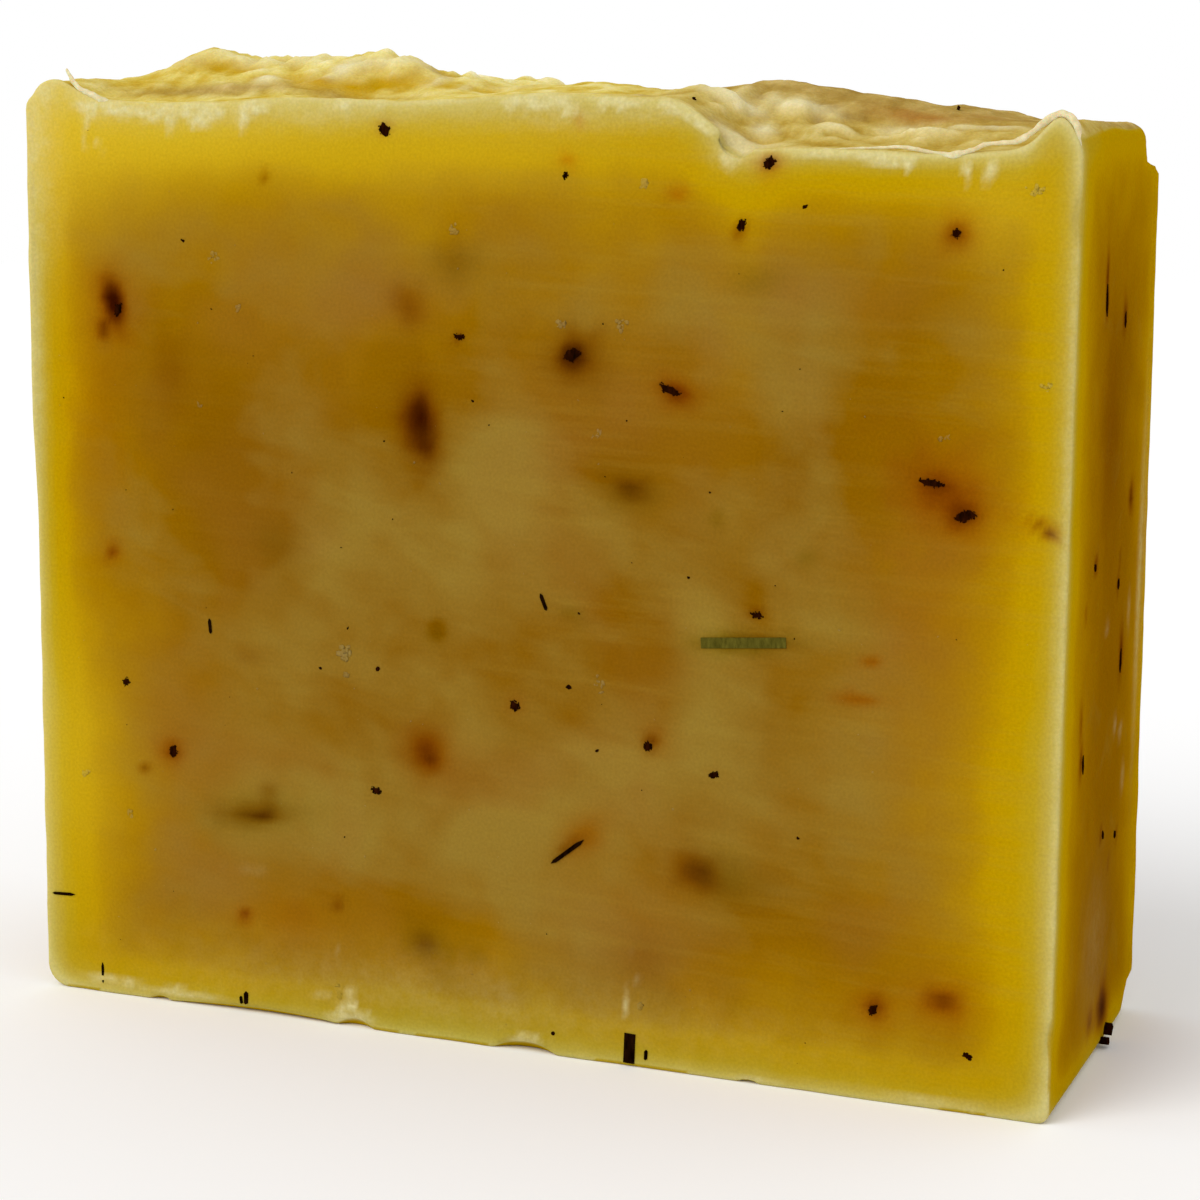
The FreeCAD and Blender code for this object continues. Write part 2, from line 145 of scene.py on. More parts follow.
amber_spots = (
    (30.2, 40.2, 3.8, 2.6, 0.6, -35), (30.8, 7.2, 2.4, 1.7, 0.45), (26.2, 6.3, 1.5, 1.3, 0.4),
    (-6.2, 20.6, 1.9, 1.7, 0.75, -35), (5.7, 15.9, 1.8, 1.2, 0.6, 38),
    (11.9, 46.2, 1.6, 0.9, 0.55, -20), (-26.8, 19, 1.2, 1.1, 0.5), (10.7, 22.9, 1.1, 1.1, 0.4),
    (0.5, 24.5, 0.8, 0.7, 0.4), (-31.5, 33.2, 0.9, 0.7, 0.4, 40), (4, 61.2, 0.7, 0.45, 0.45, -25),
    (4.9, 63.7, 0.35, 0.6, 0.4, 20), (24.5, 26.9, 1.8, 0.3, 0.45, -3), (25.4, 29.4, 0.7, 0.3, 0.45),
    (-20.9, 7.4, 0.8, 0.7, 0.4), (-17, 7.6, 3, 1.6, 0.2), (29.5, 30.5, 3.2, 8, 0.14),
    (11.9, 59, 0.7, 0.45, 0.55), (-33, 43, 3, 10, 0.2), (25.6, 29.4, 0.6, 0.4, 0.55),
    (24.7, 26.9, 1.3, 0.35, 0.55, -6), (-18.7, 60.1, 0.4, 0.4, 0.5), (18, 61, 1.2, 1.1, 0.4),
    (30.3, 56.6, 1.2, 1.1, 0.4), (-31, 51, 2, 2.6, 0.35, 12), (-6.8, 43.2, 1.6, 2.6, 0.35, 12),
)
olive_spots = (
    (0, 3, 40, 3.5, 0.24), (16, 13.7, 2.6, 1.8, 0.45, -8), (8.7, 39.6, 2, 1.2, 0.5, -12),
    (-6.3, 6.8, 2, 1.4, 0.7), (-20, 14.9, 3.6, 1.4, 0.4, 6), (-4.2, 54.3, 2, 1.7, 0.3),
    (17.2, 53.5, 1.8, 1.1, 0.35), (-18.7, 60.1, 0.4, 0.35, 0.7), (4.6, 31, 1.2, 0.5, 0.4, -25),
    (4.7, 48.2, 2.4, 2, 0.3), (16.8, 29.9, 3.4, 0.75, 0.75, 4), (-18, 34.6, 2.2, 1.6, 0.35),
    (-5.5, 29.2, 0.7, 0.7, 0.55), (21, 35.8, 0.7, 0.6, 0.35), (-2.6, 6.4, 1.2, 0.8, 0.35),
    (-6.9, 43.2, 2, 3.2, 0.3, 12), (-5, 2.5, 16, 2.6, 0.35), (14.8, 38, 0.5, 0.5, 0.4),
)

# Cloudy, clear, shallow, pale, bright and ruddy places of the soap itself, by x and z
milky_patches = (
    (-16, 50, 9, 7, 0.2), (-8, 14.5, 10, 4, 0.75, 12), (4, 8, 6, 3.5, 0.6), (3, 24, 7, 6, 0.45, 20),
    (-16, 24, 8, 6, 0.5, -20), (-15, 53, 6, 4, 0.6), (5, 37, 9, 4, 0.45, -20), (24, 20, 9, 5, 0.4),
    (12, 52, 12, 2.5, 0.35, -6), (-23, 57, 5, 3, 0.35), (-13, 36, 5, 5, 0.45),
)
clear_patches = (
    (-26, 43, 7, 9, 0.9), (4, 46, 6, 3.2, 0.6, -15), (15, 44, 9, 2.6, 0.5, -14), (-11, 46.5, 5, 4, 0.4),
    (17.5, 33.5, 4, 2, 0.4), (-7, 7, 9, 3, 0.6), (27, 6.5, 7, 4, 0.75), (30, 40, 6, 6, 0.7),
    (-18.5, 34.8, 2.4, 1.8, 0.6), (-5.4, 29.4, 0.7, 0.7, 0.7), (2, 57.5, 20, 2.5, 0.35),
)
shallow_places = ((29, 22, 7, 13, 0.38),)
pale_places = (
    (-4, 3, 22, 2.6, 0.14), (-38, 62, 2, 7, 0.6), (-37, 66.6, 2.4, 1.3, 0.55),
    (-38.2, 48, 0.9, 9, 0.45), (-33, 65.6, 3, 1.2, 0.45, -20), (-16, 64.6, 12, 1.1, 0.45),
    (6, 64.2, 9, 1, 0.4), (26, 61.5, 8, 0.6, 0.35), (15.8, 62.4, 1.6, 1.3, 0.6),
)
bright_patches = (
    (-36.5, 64, 8, 7, 0.65), (-24, 63, 10, 2.6, 0.45), (-4, 62, 14, 2.6, 0.25), (-36, 18, 6, 9, 0.25),
    (33, 58, 4, 3, 0.2),
)
blush_patches = (
    (-12, 52.5, 4.5, 2.6, 0.45), (9, 9, 6, 4.5, 0.5), (-21, 8.5, 5, 2.4, 0.25),
    (28.5, 27, 3.5, 9, 0.35), (-27, 22, 5, 7, 0.35), (31, 36, 4, 5, 0.4), (22, 53, 6, 2, 0.3),
    (4, 46, 5, 4, 0.35),
)

# Soap that the wire smeared over the front cut, by x and z
smears = (
    (-26.2, 64.2, 0.6, 1.2, 0.75, 10), (-24, 64.6, 1.9, 0.9, 0.85), (-23.2, 63.9, 0.9, 0.6, 0.7, 30),
    (-20.4, 64, 0.45, 1.1, 0.7, -8), (-19.4, 64.9, 1.1, 0.5, 0.95), (-29.5, 64.6, 2.6, 0.45, 0.8, -12),
    (-32.6, 64.9, 0.5, 1, 0.55, 15), (-12.6, 64.9, 1, 0.6, 0.85), (-9.7, 64.8, 0.35, 0.7, 0.5),
    (2.2, 65, 2.5, 0.75, 0.9), (4, 64.4, 0.5, 0.5, 0.7), (6.6, 64.7, 0.35, 0.6, 0.6),
    (8.4, 64.8, 1.4, 0.4, 0.65, -6), (11.5, 64.3, 1.6, 0.4, 0.8, -25),
    (13.5, 63.3, 1.1, 0.4, 0.85, -45), (15.3, 61.5, 0.9, 1.2, 0.7), (16.6, 62.2, 0.5, 0.7, 0.5),
    (17.6, 62.3, 0.45, 0.6, 0.8), (25.9, 61.2, 1.4, 0.55, 0.85), (27.2, 60.9, 0.3, 0.6, 0.85),
    (30.8, 60.7, 0.3, 0.7, 0.75, 8), (32.3, 60.5, 0.45, 0.9, 0.6, -20), (22, 61.5, 3.5, 0.35, 0.6),
    (-12.4, 0.6, 2.2, 0.7, 0.6), (1.2, 0.7, 1.6, 0.6, 0.6), (-33, 1, 2.4, 0.4, 0.55),
    (-26, 0.8, 4.5, 0.35, 0.5), (-15, 2.2, 3.2, 0.35, 0.35, -12), (18, 0.4, 2, 0.25, 0.5),
    (30, 0.5, 5, 0.4, 0.4), (-33.2, 64.9, 1.2, 0.5, 0.7, -20), (-31, 64.9, 1.6, 0.5, 0.7, -8),
    (-33, 63.9, 0.5, 0.9, 0.45), (-33.2, 62.6, 0.22, 0.8, 0.5), (-32.1, 62.2, 0.7, 0.25, 0.5, -30),
    (8.8, 4.3, 0.12, 1.7, 0.42, -2), (9.3, 6, 0.6, 0.12, 0.32, 30), (9, 8.2, 0.16, 0.4, 0.4, 20),
    (8, 4.2, 0.12, 0.6, 0.35), (-13.2, 4.6, 0.2, 1.7, 0.38, 4), (-12.4, 2.6, 0.7, 0.9, 0.42, -20),
    (-22.4, 10.6, 4.5, 0.14, 0.27, 2),
)

# Spots on the right wall, by y and z
wall_dark_spots = (
    (-3.9, 54, 0.5, 1.6, 0.55), (-3.6, 52.2, 0.5, 0.9, 0.5), (2.5, 51.2, 0.7, 1.1, 0.5),
    (7.3, 38.7, 0.9, 1.1, 0.55, 20), (5.8, 28, 0.8, 1.6, 0.55), (-7.2, 25.2, 0.5, 1.4, 0.35),
    (-6.8, 22.6, 0.5, 1.2, 0.55), (3.8, 3, 2, 1.8, 0.75, -20), (-0.5, 3.2, 1.2, 1, 0.4),
    (-4.2, 35.2, 0.7, 0.6, 0.45), (-6.9, 32.3, 0.4, 0.5, 0.35), (4.1, 34.7, 0.4, 0.4, 0.4),
    (3.7, 33, 0.5, 0.7, 0.45), (1, 16, 0.4, 0.5, 0.45), (6.7, 14.8, 0.4, 0.4, 0.45),
    (4, 13.4, 0.4, 0.4, 0.3), (-1, 44, 3.5, 7, 0.18),
)
wall_pale_spots = (
    (0.4, 30.5, 0.7, 0.4, 0.16), (8.2, 30.7, 0.5, 1.1, 0.15), (8.1, 18.7, 0.6, 0.9, 0.2),
    (4.6, 23.1, 0.5, 0.5, 0.25), (6.6, 22.2, 0.7, 0.4, 0.25), (0, 8, 4, 5, 0.08),
    (11.8, 32, 0.8, 9, 0.35),
)

# Colours of the crust, by x and y
crust_gold = (
    (-28, -3.6, 1.8, 0.8, 0.75), (-25.4, -3.6, 1.1, 0.6, 0.95), (-20.2, -5.4, 1.2, 0.8, 0.8),
    (-18.2, -5.9, 1.6, 0.8, 0.95), (-15.6, -5.8, 1.8, 1.1, 1), (-13.2, -4.7, 1.6, 0.9, 0.85),
    (-10.9, -4.2, 1.3, 1, 0.6), (-9, -4.8, 1.2, 1, 0.55), (-6, -4, 1.5, 0.9, 0.3),
    (16.6, -10, 0.9, 0.8, 0.45), (36.2, -11.6, 0.8, 0.8, 0.6), (-35, -11.8, 1.6, 0.7, 0.5),
)
crust_white = (
    (-22.4, -5.9, 1, 0.7, 0.95), (-17.4, -3.9, 0.8, 1, 0.95), (-16.6, -3.2, 1, 0.7, 0.7),
    (-21.4, -1.4, 3, 1, 0.5), (-14.2, -2.7, 2.6, 0.8, 0.6), (-12, -1.8, 1.8, 1, 0.45),
    (-9.8, -3.6, 0.35, 1.6, 0.55), (-7.6, -4.4, 0.35, 1.4, 0.4), (-26.6, -2, 3.4, 0.8, 0.5),
    (-31, -3.4, 1.6, 0.6, 0.4), (-4.6, -2.4, 2, 0.8, 0.35), (12.4, -7.9, 1.1, 0.7, 0.65),
    (13.9, -6.9, 1.5, 0.8, 0.9), (17.4, -5.2, 2.6, 0.8, 0.7), (16.1, -8.6, 0.7, 0.8, 0.8),
    (20.5, -7.4, 1.2, 0.5, 0.45), (24.1, -5.6, 1.2, 0.4, 0.6), (26.9, -7.2, 1.6, 0.5, 0.6),
    (28.6, -6, 1.2, 0.4, 0.55), (31.1, -5.9, 1.8, 0.5, 0.6), (3, -10.8, 4, 0.8, 0.4),
    (15.6, -12.3, 1.8, 1.3, 0.75),
)
# Tan crust: the first two patches are the painted shadow of the valley just behind the front cut, the
# others tan soap
crust_tan_and_valley_shadow = (
    (-25, -7.6, 8, 1, 0.95, 11), (-14.6, -7.4, 4.5, 0.9, 0.9), (8, -9.6, 6, 1.4, 0.7),
    (21, -9.8, 3.5, 0.9, 0.55),
)
crust_red = (
    (25.4, -4.2, 3.2, 0.9, 0.85, -5), (29.5, -2.6, 2, 0.8, 0.35),
)

# Shape of the crust, by x and y: the strength is the share of its full relief
lumpy_places = (
    (-18, 0, 11, 6.5, 0.8), (-14, 8, 16, 5, 0.6), (16, -6.5, 7, 3.5, 0.6), (27, -8.5, 8, 2.5, 0.45),
    (12, 5, 22, 6, 0.3),
)
crust_rises = (
    (-37.4, -1.6, 2.4, 3.2, 0.6), (17.4, -5, 2.8, 0.9, 0.3), (29, -7.2, 4, 0.7, 0.25),
)
crust_valleys = (
    (-30, -10.4, 5, 1, 0.5), (-22, -8.4, 8, 1.3, 0.6), (-14.5, -8, 5, 1, 0.5), (24, -5.8, 4, 0.9, 0.4),
    (-5.4, -0.6, 3.2, 3, 0.75), (11.6, -0.4, 3.6, 3, 0.55), (31.5, -0.4, 4, 3, 0.55),
)

# Threads of soap that the wire dragged along the front edge: x, y, z and half thickness
curl_at_left_corner = (
    (-35.2, -12.2, 67.6, 0.1), (-34.8, -12.5, 67.2, 0.17), (-34.1, -12.8, 66.5, 0.17),
    (-32.8, -12.9, 65.8, 0.2), (-31.5, -12.93, 65.3, 0.21), (-30, -12.9, 64.9, 0.15),
    (-28.6, -12.9, 64.7, 0.1), (-27.4, -12.85, 64.8, 0.03),
)
arch_at_right_corner = (
    (20, -12.8, 61.75, 0.03), (23.3, -12.8, 61.8, 0.08), (26.5, -12.82, 61.9, 0.1),
    (28.7, -12.9, 61.5, 0.15), (30, -12.95, 61.4, 0.2), (31.3, -12.95, 61.8, 0.16),
    (32.3, -12.9, 62.1, 0.15), (33.8, -12.9, 62.2, 0.18), (34.7, -12.9, 62.7, 0.18),
    (35.6, -12.8, 63.4, 0.2), (36.3, -12.7, 63.8, 0.24), (36.9, -12.7, 63.7, 0.24),
    (37.5, -12.8, 63.1, 0.21), (37.72, -12.78, 62, 0.17), (37.7, -12.68, 60.8, 0.13),
    (37.65, -12.55, 59.6, 0.06),
)

# Pale crumbs on the front cut: x, z, how far they spread, how many, mean half size
crumb_groups = (
    (-12.6, 27.1, 0.55, 16, 0.12), (-12.6, 25.6, 0.25, 4, 0.09), (-4.1, 56.6, 0.45, 7, 0.11),
    (3.6, 50.4, 0.3, 7, 0.11), (7.9, 50.4, 0.45, 9, 0.09), (6.4, 43.1, 0.35, 5, 0.09),
    (29.9, 44, 0.3, 5, 0.1), (6.5, 26.3, 0.45, 8, 0.08), (-34.2, 16.7, 0.35, 6, 0.11),
    (9.4, 59.6, 0.22, 4, 0.14), (35.2, 59.3, 0.55, 9, 0.12), (-13, 2.4, 0.55, 10, 0.12),
    (9.9, 4.4, 0.3, 5, 0.1), (-23, 54.5, 0.6, 8, 0.09), (-21, 50.9, 0.4, 5, 0.08),
    (-24, 44, 0.3, 4, 0.07), (36.1, 47.2, 0.35, 5, 0.09), (-30.5, 13.6, 0.5, 5, 0.08),
)

# The camera, fitted to the bar's corners
camera_place = (0.06995, -0.16825, 0.05656)
camera_pitch = -8.30
camera_heading = 22.19
camera_roll = 0.523
camera_lens = 75.95
sensor_width = 36.0

# The key light, a sun: strength, and in degrees its width, lean about X and turn about Z
key_strength = 1.3
key_width = 40.0
key_lean = 48.0
key_turn = -30.0


def smooth_step(t):
    """Rise from 0 to 1 with level ends: t squared times (3 - 2 t), t kept from 0 to 1."""
    t = np.clip(t, 0.0, 1.0)
    return t * t * (3.0 - 2.0 * t)


def bell(distance, width):
    """A round bump that is 1 at its middle: exp of minus the square of distance over width."""
    return np.exp(-(distance / width) ** 2)


def lattice_value(cell, seed):
    """A repeatable number from -1 to 1 for each whole-numbered point.

    The coordinates are multiplied by large odd numbers, added, mixed by shifts in 32 bits and
    the lowest 16 bits are kept.
    """
    odd = np.array((374761393, 668265263, 1274126177), dtype=np.int64)
    bits = ((cell * odd).sum(axis=1) + seed * 362437) & 0xFFFFFFFF
    bits = ((bits ^ (bits >> 13)) * 1103515245) & 0xFFFFFFFF
    bits = bits ^ (bits >> 16)
    return (bits & 0xFFFF) / 32767.5 - 1.0


def noise(points, size, seed):
    """Smooth noise from -1 to 1: the values at the corners of cubes of that size in mm,
    blended along each axis by a smooth step."""
    scaled = points / size
    cell = np.floor(scaled).astype(np.int64)
    share = smooth_step(scaled - cell)
    total = np.zeros(len(points))
    for corner in np.ndindex(2, 2, 2):
        weight = np.where(np.array(corner) == 1, share, 1.0 - share).prod(axis=1)
        total += weight * lattice_value(cell + np.array(corner), seed)
    return total


def cloud(points, size, seed, octaves=3):
    """Noise on noise: each octave is half the size and half the strength of the one before."""
    total = np.zeros(len(points))
    for octave in range(octaves):
        total += noise(points, size / 2.0 ** octave, seed + octave) / 2.0 ** octave
    return total


def back_y(z):
    """The back cut leans: the slice is thicker at its base than at its top."""
    return front_y + slice_thickness + cut_wedge * (0.5 - z / front_height_left)


def front_edge_height(x):
    """Top of the front cut: level, then down a torn shoulder, with a lip at each wall."""
    across = x + half_width
    torn = smooth_step((across - shoulder_from_left_wall) / shoulder_run + 0.5)
    level = front_height_left + (front_height_right - front_height_left) * torn
    wave = front_wave_height * np.cos(2.0 * math.pi * (across - front_wave_top) / front_wave_length)
    left_lip = left_lip_rise * bell(across - left_lip_inset, left_lip_width)
    right_lip = right_lip_rise * bell(loaf_width - across - right_lip_inset, right_lip_width)
    return level + wave + left_lip + right_lip


def crust_height(x, y):
    """Height of the crust: front edge up to the ridge, down to the back, plus the lumps."""
    across = x + half_width
    behind = y - front_y
    front = front_edge_height(x)
    ridge = ridge_height_left + (ridge_height_right - ridge_height_left) * across / loaf_width
    rising = front + (ridge - front) * smooth_step(behind / ridge_behind_front)
    share = np.maximum(behind - ridge_behind_front, 0.0) / (slice_thickness - ridge_behind_front)
    height = np.where(behind < ridge_behind_front, rising, ridge - back_drop * share ** 3)
    for lump_across, lump_behind, rise, radius in crust_lumps:
        height = height + rise * bell(np.hypot(across - lump_across, behind - lump_behind), radius)
    return height


def rounded(a, b, radius):
    """The solid inside both sides a and b, as a distance, with their corner rounded to radius."""
    inside = np.minimum(np.maximum(a, b) + radius, 0.0)
    outside = np.hypot(np.maximum(a + radius, 0.0), np.maximum(b + radius, 0.0))
    return inside + outside - radius


def edge_chips():
    """Middle and radius of the ball that makes each shell-shaped chip, and the radius of its rim.

    A ball that meets the edge over the chip's length, and reaches size_a against out_a and
    size_b against out_b, has its middle off the edge by (half length squared - size squared)
    / (2 size) each way.
    """
    chips = []
    for from_left, length, height, depth in base_chips:
        corner = (from_left - half_width, front_y, 0.0)
        chips.append((corner, OUT_BASE, OUT_FRONT, length, height, depth))
    for height, length, on_front, on_wall in wall_chips:
        chips.append(((half_width, front_y, height), OUT_RIGHT, OUT_FRONT, length, on_front, on_wall))
    length, on_wall, on_back = back_chip
    corner = (half_width, back_y(back_chip_height), back_chip_height)
    chips.append((corner, OUT_RIGHT, OUT_BACK, length, on_back, on_wall))
    balls = []
    for corner, out_a, out_b, length, size_a, size_b in chips:
        half = length / 2.0
        off_a = (half ** 2 - size_a ** 2) / (2.0 * size_a)
        off_b = (half ** 2 - size_b ** 2) / (2.0 * size_b)
        middle = np.array(corner) + np.array(out_a) * off_a + np.array(out_b) * off_b
        rim = back_chip_rim if out_b is OUT_BACK else chip_rim
        balls.append((middle, math.sqrt(off_a ** 2 + off_b ** 2 + half ** 2), rim))
    pit = (shoulder_pit_x, front_y, front_edge_height(shoulder_pit_x) + shoulder_pit_lift)
    balls.append((np.array(pit), shoulder_pit_radius, chip_rim))
    return balls


def worn_corner_side():
    """The plane that the worn corner of base, back and right wall has: a point and a normal."""
    across, along, up = worn_corner
    normal = np.array((1.0 / across, 1.0 / along, -1.0 / up))
    return np.array((half_width - across, back_y(0.0), 0.0)), normal / np.linalg.norm(normal)


CHIP_BALLS = edge_chips()
CORNER_POINT, CORNER_NORMAL = worn_corner_side()


def side_distances(points):
    """Distance outwards from each of the bar's six sides: left, right, base, front, back, crust."""
    x, y, z = points.T
    lean = math.hypot(1.0, cut_wedge / front_height_left)
    return (
        -half_width - x,
        x - half_width,
        -z,
        front_y - y,
        (y - back_y(z)) / lean,
        z - crust_height(x, y),
    )


def bar_distance(points):
    """Distance to the bar's skin, below 0 inside.

    The mould's walls and base, the crust and the two cuts are joined as rounded corners, and the
    chips and the worn corner are taken off.
    """
    left, right, base, front, back, crust = side_distances(points)
    wear = cut_edge + cut_edge_change * noise(points, 2.7, 11)
    mould = np.maximum(rounded(left, base, mould_corner_left), rounded(right, base, mould_corner_right))
    poured = rounded(mould, crust, wall_edge)
    bar = rounded(rounded(poured, front, wear), back, back_edge_share * wear)
    for middle, radius, rim in CHIP_BALLS:
        bar = rounded(bar, radius - np.linalg.norm(points - middle, axis=1), rim)
    return rounded(bar, (points - CORNER_POINT) @ CORNER_NORMAL, worn_corner_rim)


def settle(points, distance, rounds=7, probe=0.02):
    """Move points onto the skin, where the distance is 0, and give its outward direction there.

    Each round steps back along the slope by distance over slope squared.
    """
    for _ in range(rounds):
        slope = np.stack([
            (distance(points + probe * axis) - distance(points - probe * axis)) / (2.0 * probe)
            for axis in np.eye(3)
        ], axis=1)
        steepness = np.maximum((slope ** 2).sum(axis=1), 0.3)
        points = points - slope * (distance(points) / steepness)[:, None]
    return points, slope / np.maximum(np.linalg.norm(slope, axis=1), 1e-6)[:, None]


def places(count, tight_start, tight_end, reach):
    """count + 1 places from 0 to 1, closer together at each end.

    Each step is 1 less a share near either end, which fades as exp(-distance / reach).
    """
    t = (np.arange(count) + 0.5) / count
    step = 1.0 - tight_start * np.exp(-t / reach) - tight_end * np.exp((t - 1.0) / reach)
    return np.concatenate(([0.0], np.cumsum(step))) / step.sum()


def box_lattice(counts):
    """The vertices on the outside of a box of cells, as their three steps, and the quads
    between them, facing outwards."""
    steps = np.stack(np.meshgrid(*[np.arange(n + 1) for n in counts], indexing="ij"), axis=-1)
    outside = ((steps == 0) | (steps == np.array(counts))).any(axis=-1)
    index = np.full(outside.shape, -1)
    index[outside] = np.arange(outside.sum())

    def quads(sheet, turned):
        corners = [sheet[:-1, :-1], sheet[1:, :-1], sheet[1:, 1:], sheet[:-1, 1:]]
        if turned:
            corners.reverse()
        return np.stack([corner.ravel() for corner in corners], axis=1)

    faces = np.concatenate([
        quads(index[0], True), quads(index[-1], False),
        quads(index[:, 0], False), quads(index[:, -1], True),
        quads(index[:, :, 0], True), quads(index[:, :, -1], False),
    ])
    return steps[outside], faces


def new_object(name, data):
    """An object of the scene that shows the data."""
    shown = bpy.data.objects.new(name, data)
    bpy.context.scene.collection.objects.link(shown)
    return shown


def new_piece(name, points, faces, material):
    """A mesh object from points in mm and faces of one size, smooth, riding on the bar."""
    mesh = bpy.data.meshes.new(name)
    corners = faces.shape[1]
    mesh.vertices.add(len(points))
    mesh.vertices.foreach_set("co", (points * MM).astype(np.float32).ravel())
    mesh.loops.add(faces.size)
    mesh.loops.foreach_set("vertex_index", faces.ravel().astype(np.int32))
    mesh.polygons.add(len(faces))
    mesh.polygons.foreach_set("loop_start", np.arange(0, faces.size, corners, dtype=np.int32))
    mesh.polygons.foreach_set("use_smooth", np.ones(len(faces), dtype=bool))
    mesh.update(calc_edges=True)
    mesh.validate()
    mesh.materials.append(material)
    piece = new_object(name, mesh)
    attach(piece, "root")
    return piece


def stain(u, v, spots, ragged):
    """How strongly each point of a face is stained, 0 to 1.

    Each spot is an oval that fades as exp(-d squared), with d pushed about by the noise in
    ragged, and the stain is 1 less the product of what every spot lets through.
    """
    clear = np.ones(len(u))
    for middle_u, middle_v, half_u, half_v, strength, *tilt in spots:
        lean = math.radians(sum(tilt))
        cos, sin = math.cos(lean), math.sin(lean)
        along = ((u - middle_u) * cos + (v - middle_v) * sin) / half_u
        aside = ((v - middle_v) * cos - (u - middle_u) * sin) / half_v
        clear *= 1.0 - strength * np.exp(-(along ** 2 + aside ** 2) * (1.0 + 0.35 * ragged))
    return 1.0 - clear


def edge_depth(points):
    """How deep each point of the skin looks, from its distance to the nearest edge of the bar.

    The side that the point is on is left out. The distances to the others, each times how fast
    the soap darkens behind that side and plus how dark it starts, are joined as a soft least:
    -k log of the sum of exp(-distance / k). The pale rim that this gives is partly soap dried
    paler and partly painted glow of light through the thin edges. It reaches further in at the
    left end near its base, hardly at the wall's base and top, and least of all at the wall's back edge.
    """
    soft = 1.2
    own_side_depth = 1e3
    sides = np.stack(side_distances(points))
    own_side = sides.argmax(axis=0)
    on_wall = own_side == 1
    left, right, base, front, back, crust = np.maximum(-sides, 0.0)
    x, z = points[:, 0], points[:, 2]
    left_side = 1.15 - 0.35 * smooth_step((40.0 - z) / 25.0)
    right_side = 1.1 - 0.2 * smooth_step((40.0 - z) / 14.0)
    right_side = right_side * (1.0 - stain(x, z, shallow_places, 0.0))
    right_start = 0.2 + 0.3 * smooth_step((z - 30.0) / 12.0)
    front_start = 0.3 + 1.2 * smooth_step((8.0 - z) / 5.0)
    crust_side = 0.7 + 0.4 * smooth_step((x - 16.0) / 6.0)
    depths = np.stack((
        left * left_side,
        right * right_side + right_start,
        base * np.where(on_wall, 1.7, 1.1),
        front + front_start,
        np.where(on_wall, back * 0.95 + 3.2, back * 1.1),
        np.where(on_wall, crust * 0.75 + 1.5, crust * crust_side),
    ))
    depths[own_side, np.arange(len(points))] = own_side_depth
    return -soft * np.log(np.exp(-depths / soft).sum(axis=0))


def linear(hex_colour):
    """sRGB hex to the linear red, green, blue and alpha that Blender uses."""
    parts = [int(hex_colour[i:i + 2], 16) / 255.0 for i in (1, 3, 5)]
    return [p / 12.92 if p <= 0.04045 else ((p + 0.055) / 1.055) ** 2.4 for p in parts] + [1.0]


def add_node(tree, kind, inputs=None, out=0, stops=(), **settings):
    """Add a node and give one of its output sockets, by name or number.

    Each input, by name or number, is a value or a socket that feeds it. Stops are a ramp's places
    and hex colours, and settings are the node's own options.
    """
    node = tree.nodes.new(kind)
    for key, value in settings.items():
        setattr(node, key, value)
    for key, value in (inputs or {}).items():
        if isinstance(value, bpy.types.NodeSocket):
            tree.links.new(value, node.inputs[key])
        else:
            node.inputs[key].default_value = value
    for number, (place, colour) in enumerate(stops):
        elements = node.color_ramp.elements
        element = elements[number] if number < 2 else elements.new(place)
        element.position = place
        element.color = linear(colour)
    return node.outputs[out] if node.outputs else None


def mixed(tree, share, under, over, blend_type="MIX"):
    """The colour under with that share of the colour over, which is a socket or a hex colour."""
    over = linear(over) if isinstance(over, str) else over
    inputs = {0: share, 6: under, 7: over}
    return add_node(tree, "ShaderNodeMix", inputs, 2, data_type="RGBA", blend_type=blend_type)


def maths(tree, operation, *values):
    """What a math node gives for numbers and sockets, in their order."""
    return add_node(tree, "ShaderNodeMath", dict(enumerate(values)), operation=operation)


def drawn_out(tree, value, low, high, least=0.0, most=1.0):
    """The value, with low to high drawn out to least to most and cut off there."""
    return add_node(tree, "ShaderNodeMapRange", {
        "Value": value, "From Min": low, "From Max": high, "To Min": least, "To Max": most,
    })


def grains_of(tree, place, size, detail=3.0, roughness=0.6, distortion=0.0):
    """Noise from 0 to 1 in grains of that size in mm."""
    return add_node(tree, "ShaderNodeTexNoise", {
        "Vector": place, "Scale": 1.0 / size, "Detail": detail, "Roughness": roughness,
        "Distortion": distortion,
    })


def stretched(tree, place, scale, lean=0.0):
    """Coordinates drawn out by scale along their axes and leaned about Y by degrees."""
    return add_node(tree, "ShaderNodeMapping", {
        "Vector": place, "Rotation": (0.0, math.radians(lean), 0.0), "Scale": scale,
    }, vector_type="TEXTURE")


def ramp(tree, value, stops):
    """The colours of the stops over the value."""
    return add_node(tree, "ShaderNodeValToRGB", {"Fac": value}, stops=stops)


def raise_relief(tree, surface, height, strength, relief):
    """Bump the surface by a height, with relief in mm."""
    bump = add_node(tree, "ShaderNodeBump", {
        "Height": height, "Strength": strength, "Distance": relief * MM,
    })
    tree.links.new(bump, surface["Normal"])


def new_material(name, finish):
    """A node material: its shader with the values in finish, and Object coordinates in mm."""
    material = bpy.data.materials.new(name)
    material.use_nodes = True
    tree = material.node_tree
    tree.nodes.clear()
    surface = add_node(tree, "ShaderNodeBsdfPrincipled", finish)
    add_node(tree, "ShaderNodeOutputMaterial", {"Surface": surface})
    place = add_node(tree, "ShaderNodeTexCoord", out="Object")
    place = add_node(tree, "ShaderNodeVectorMath", {0: place, "Scale": 1.0 / MM}, operation="SCALE")
    return material, tree, surface.node.inputs, place


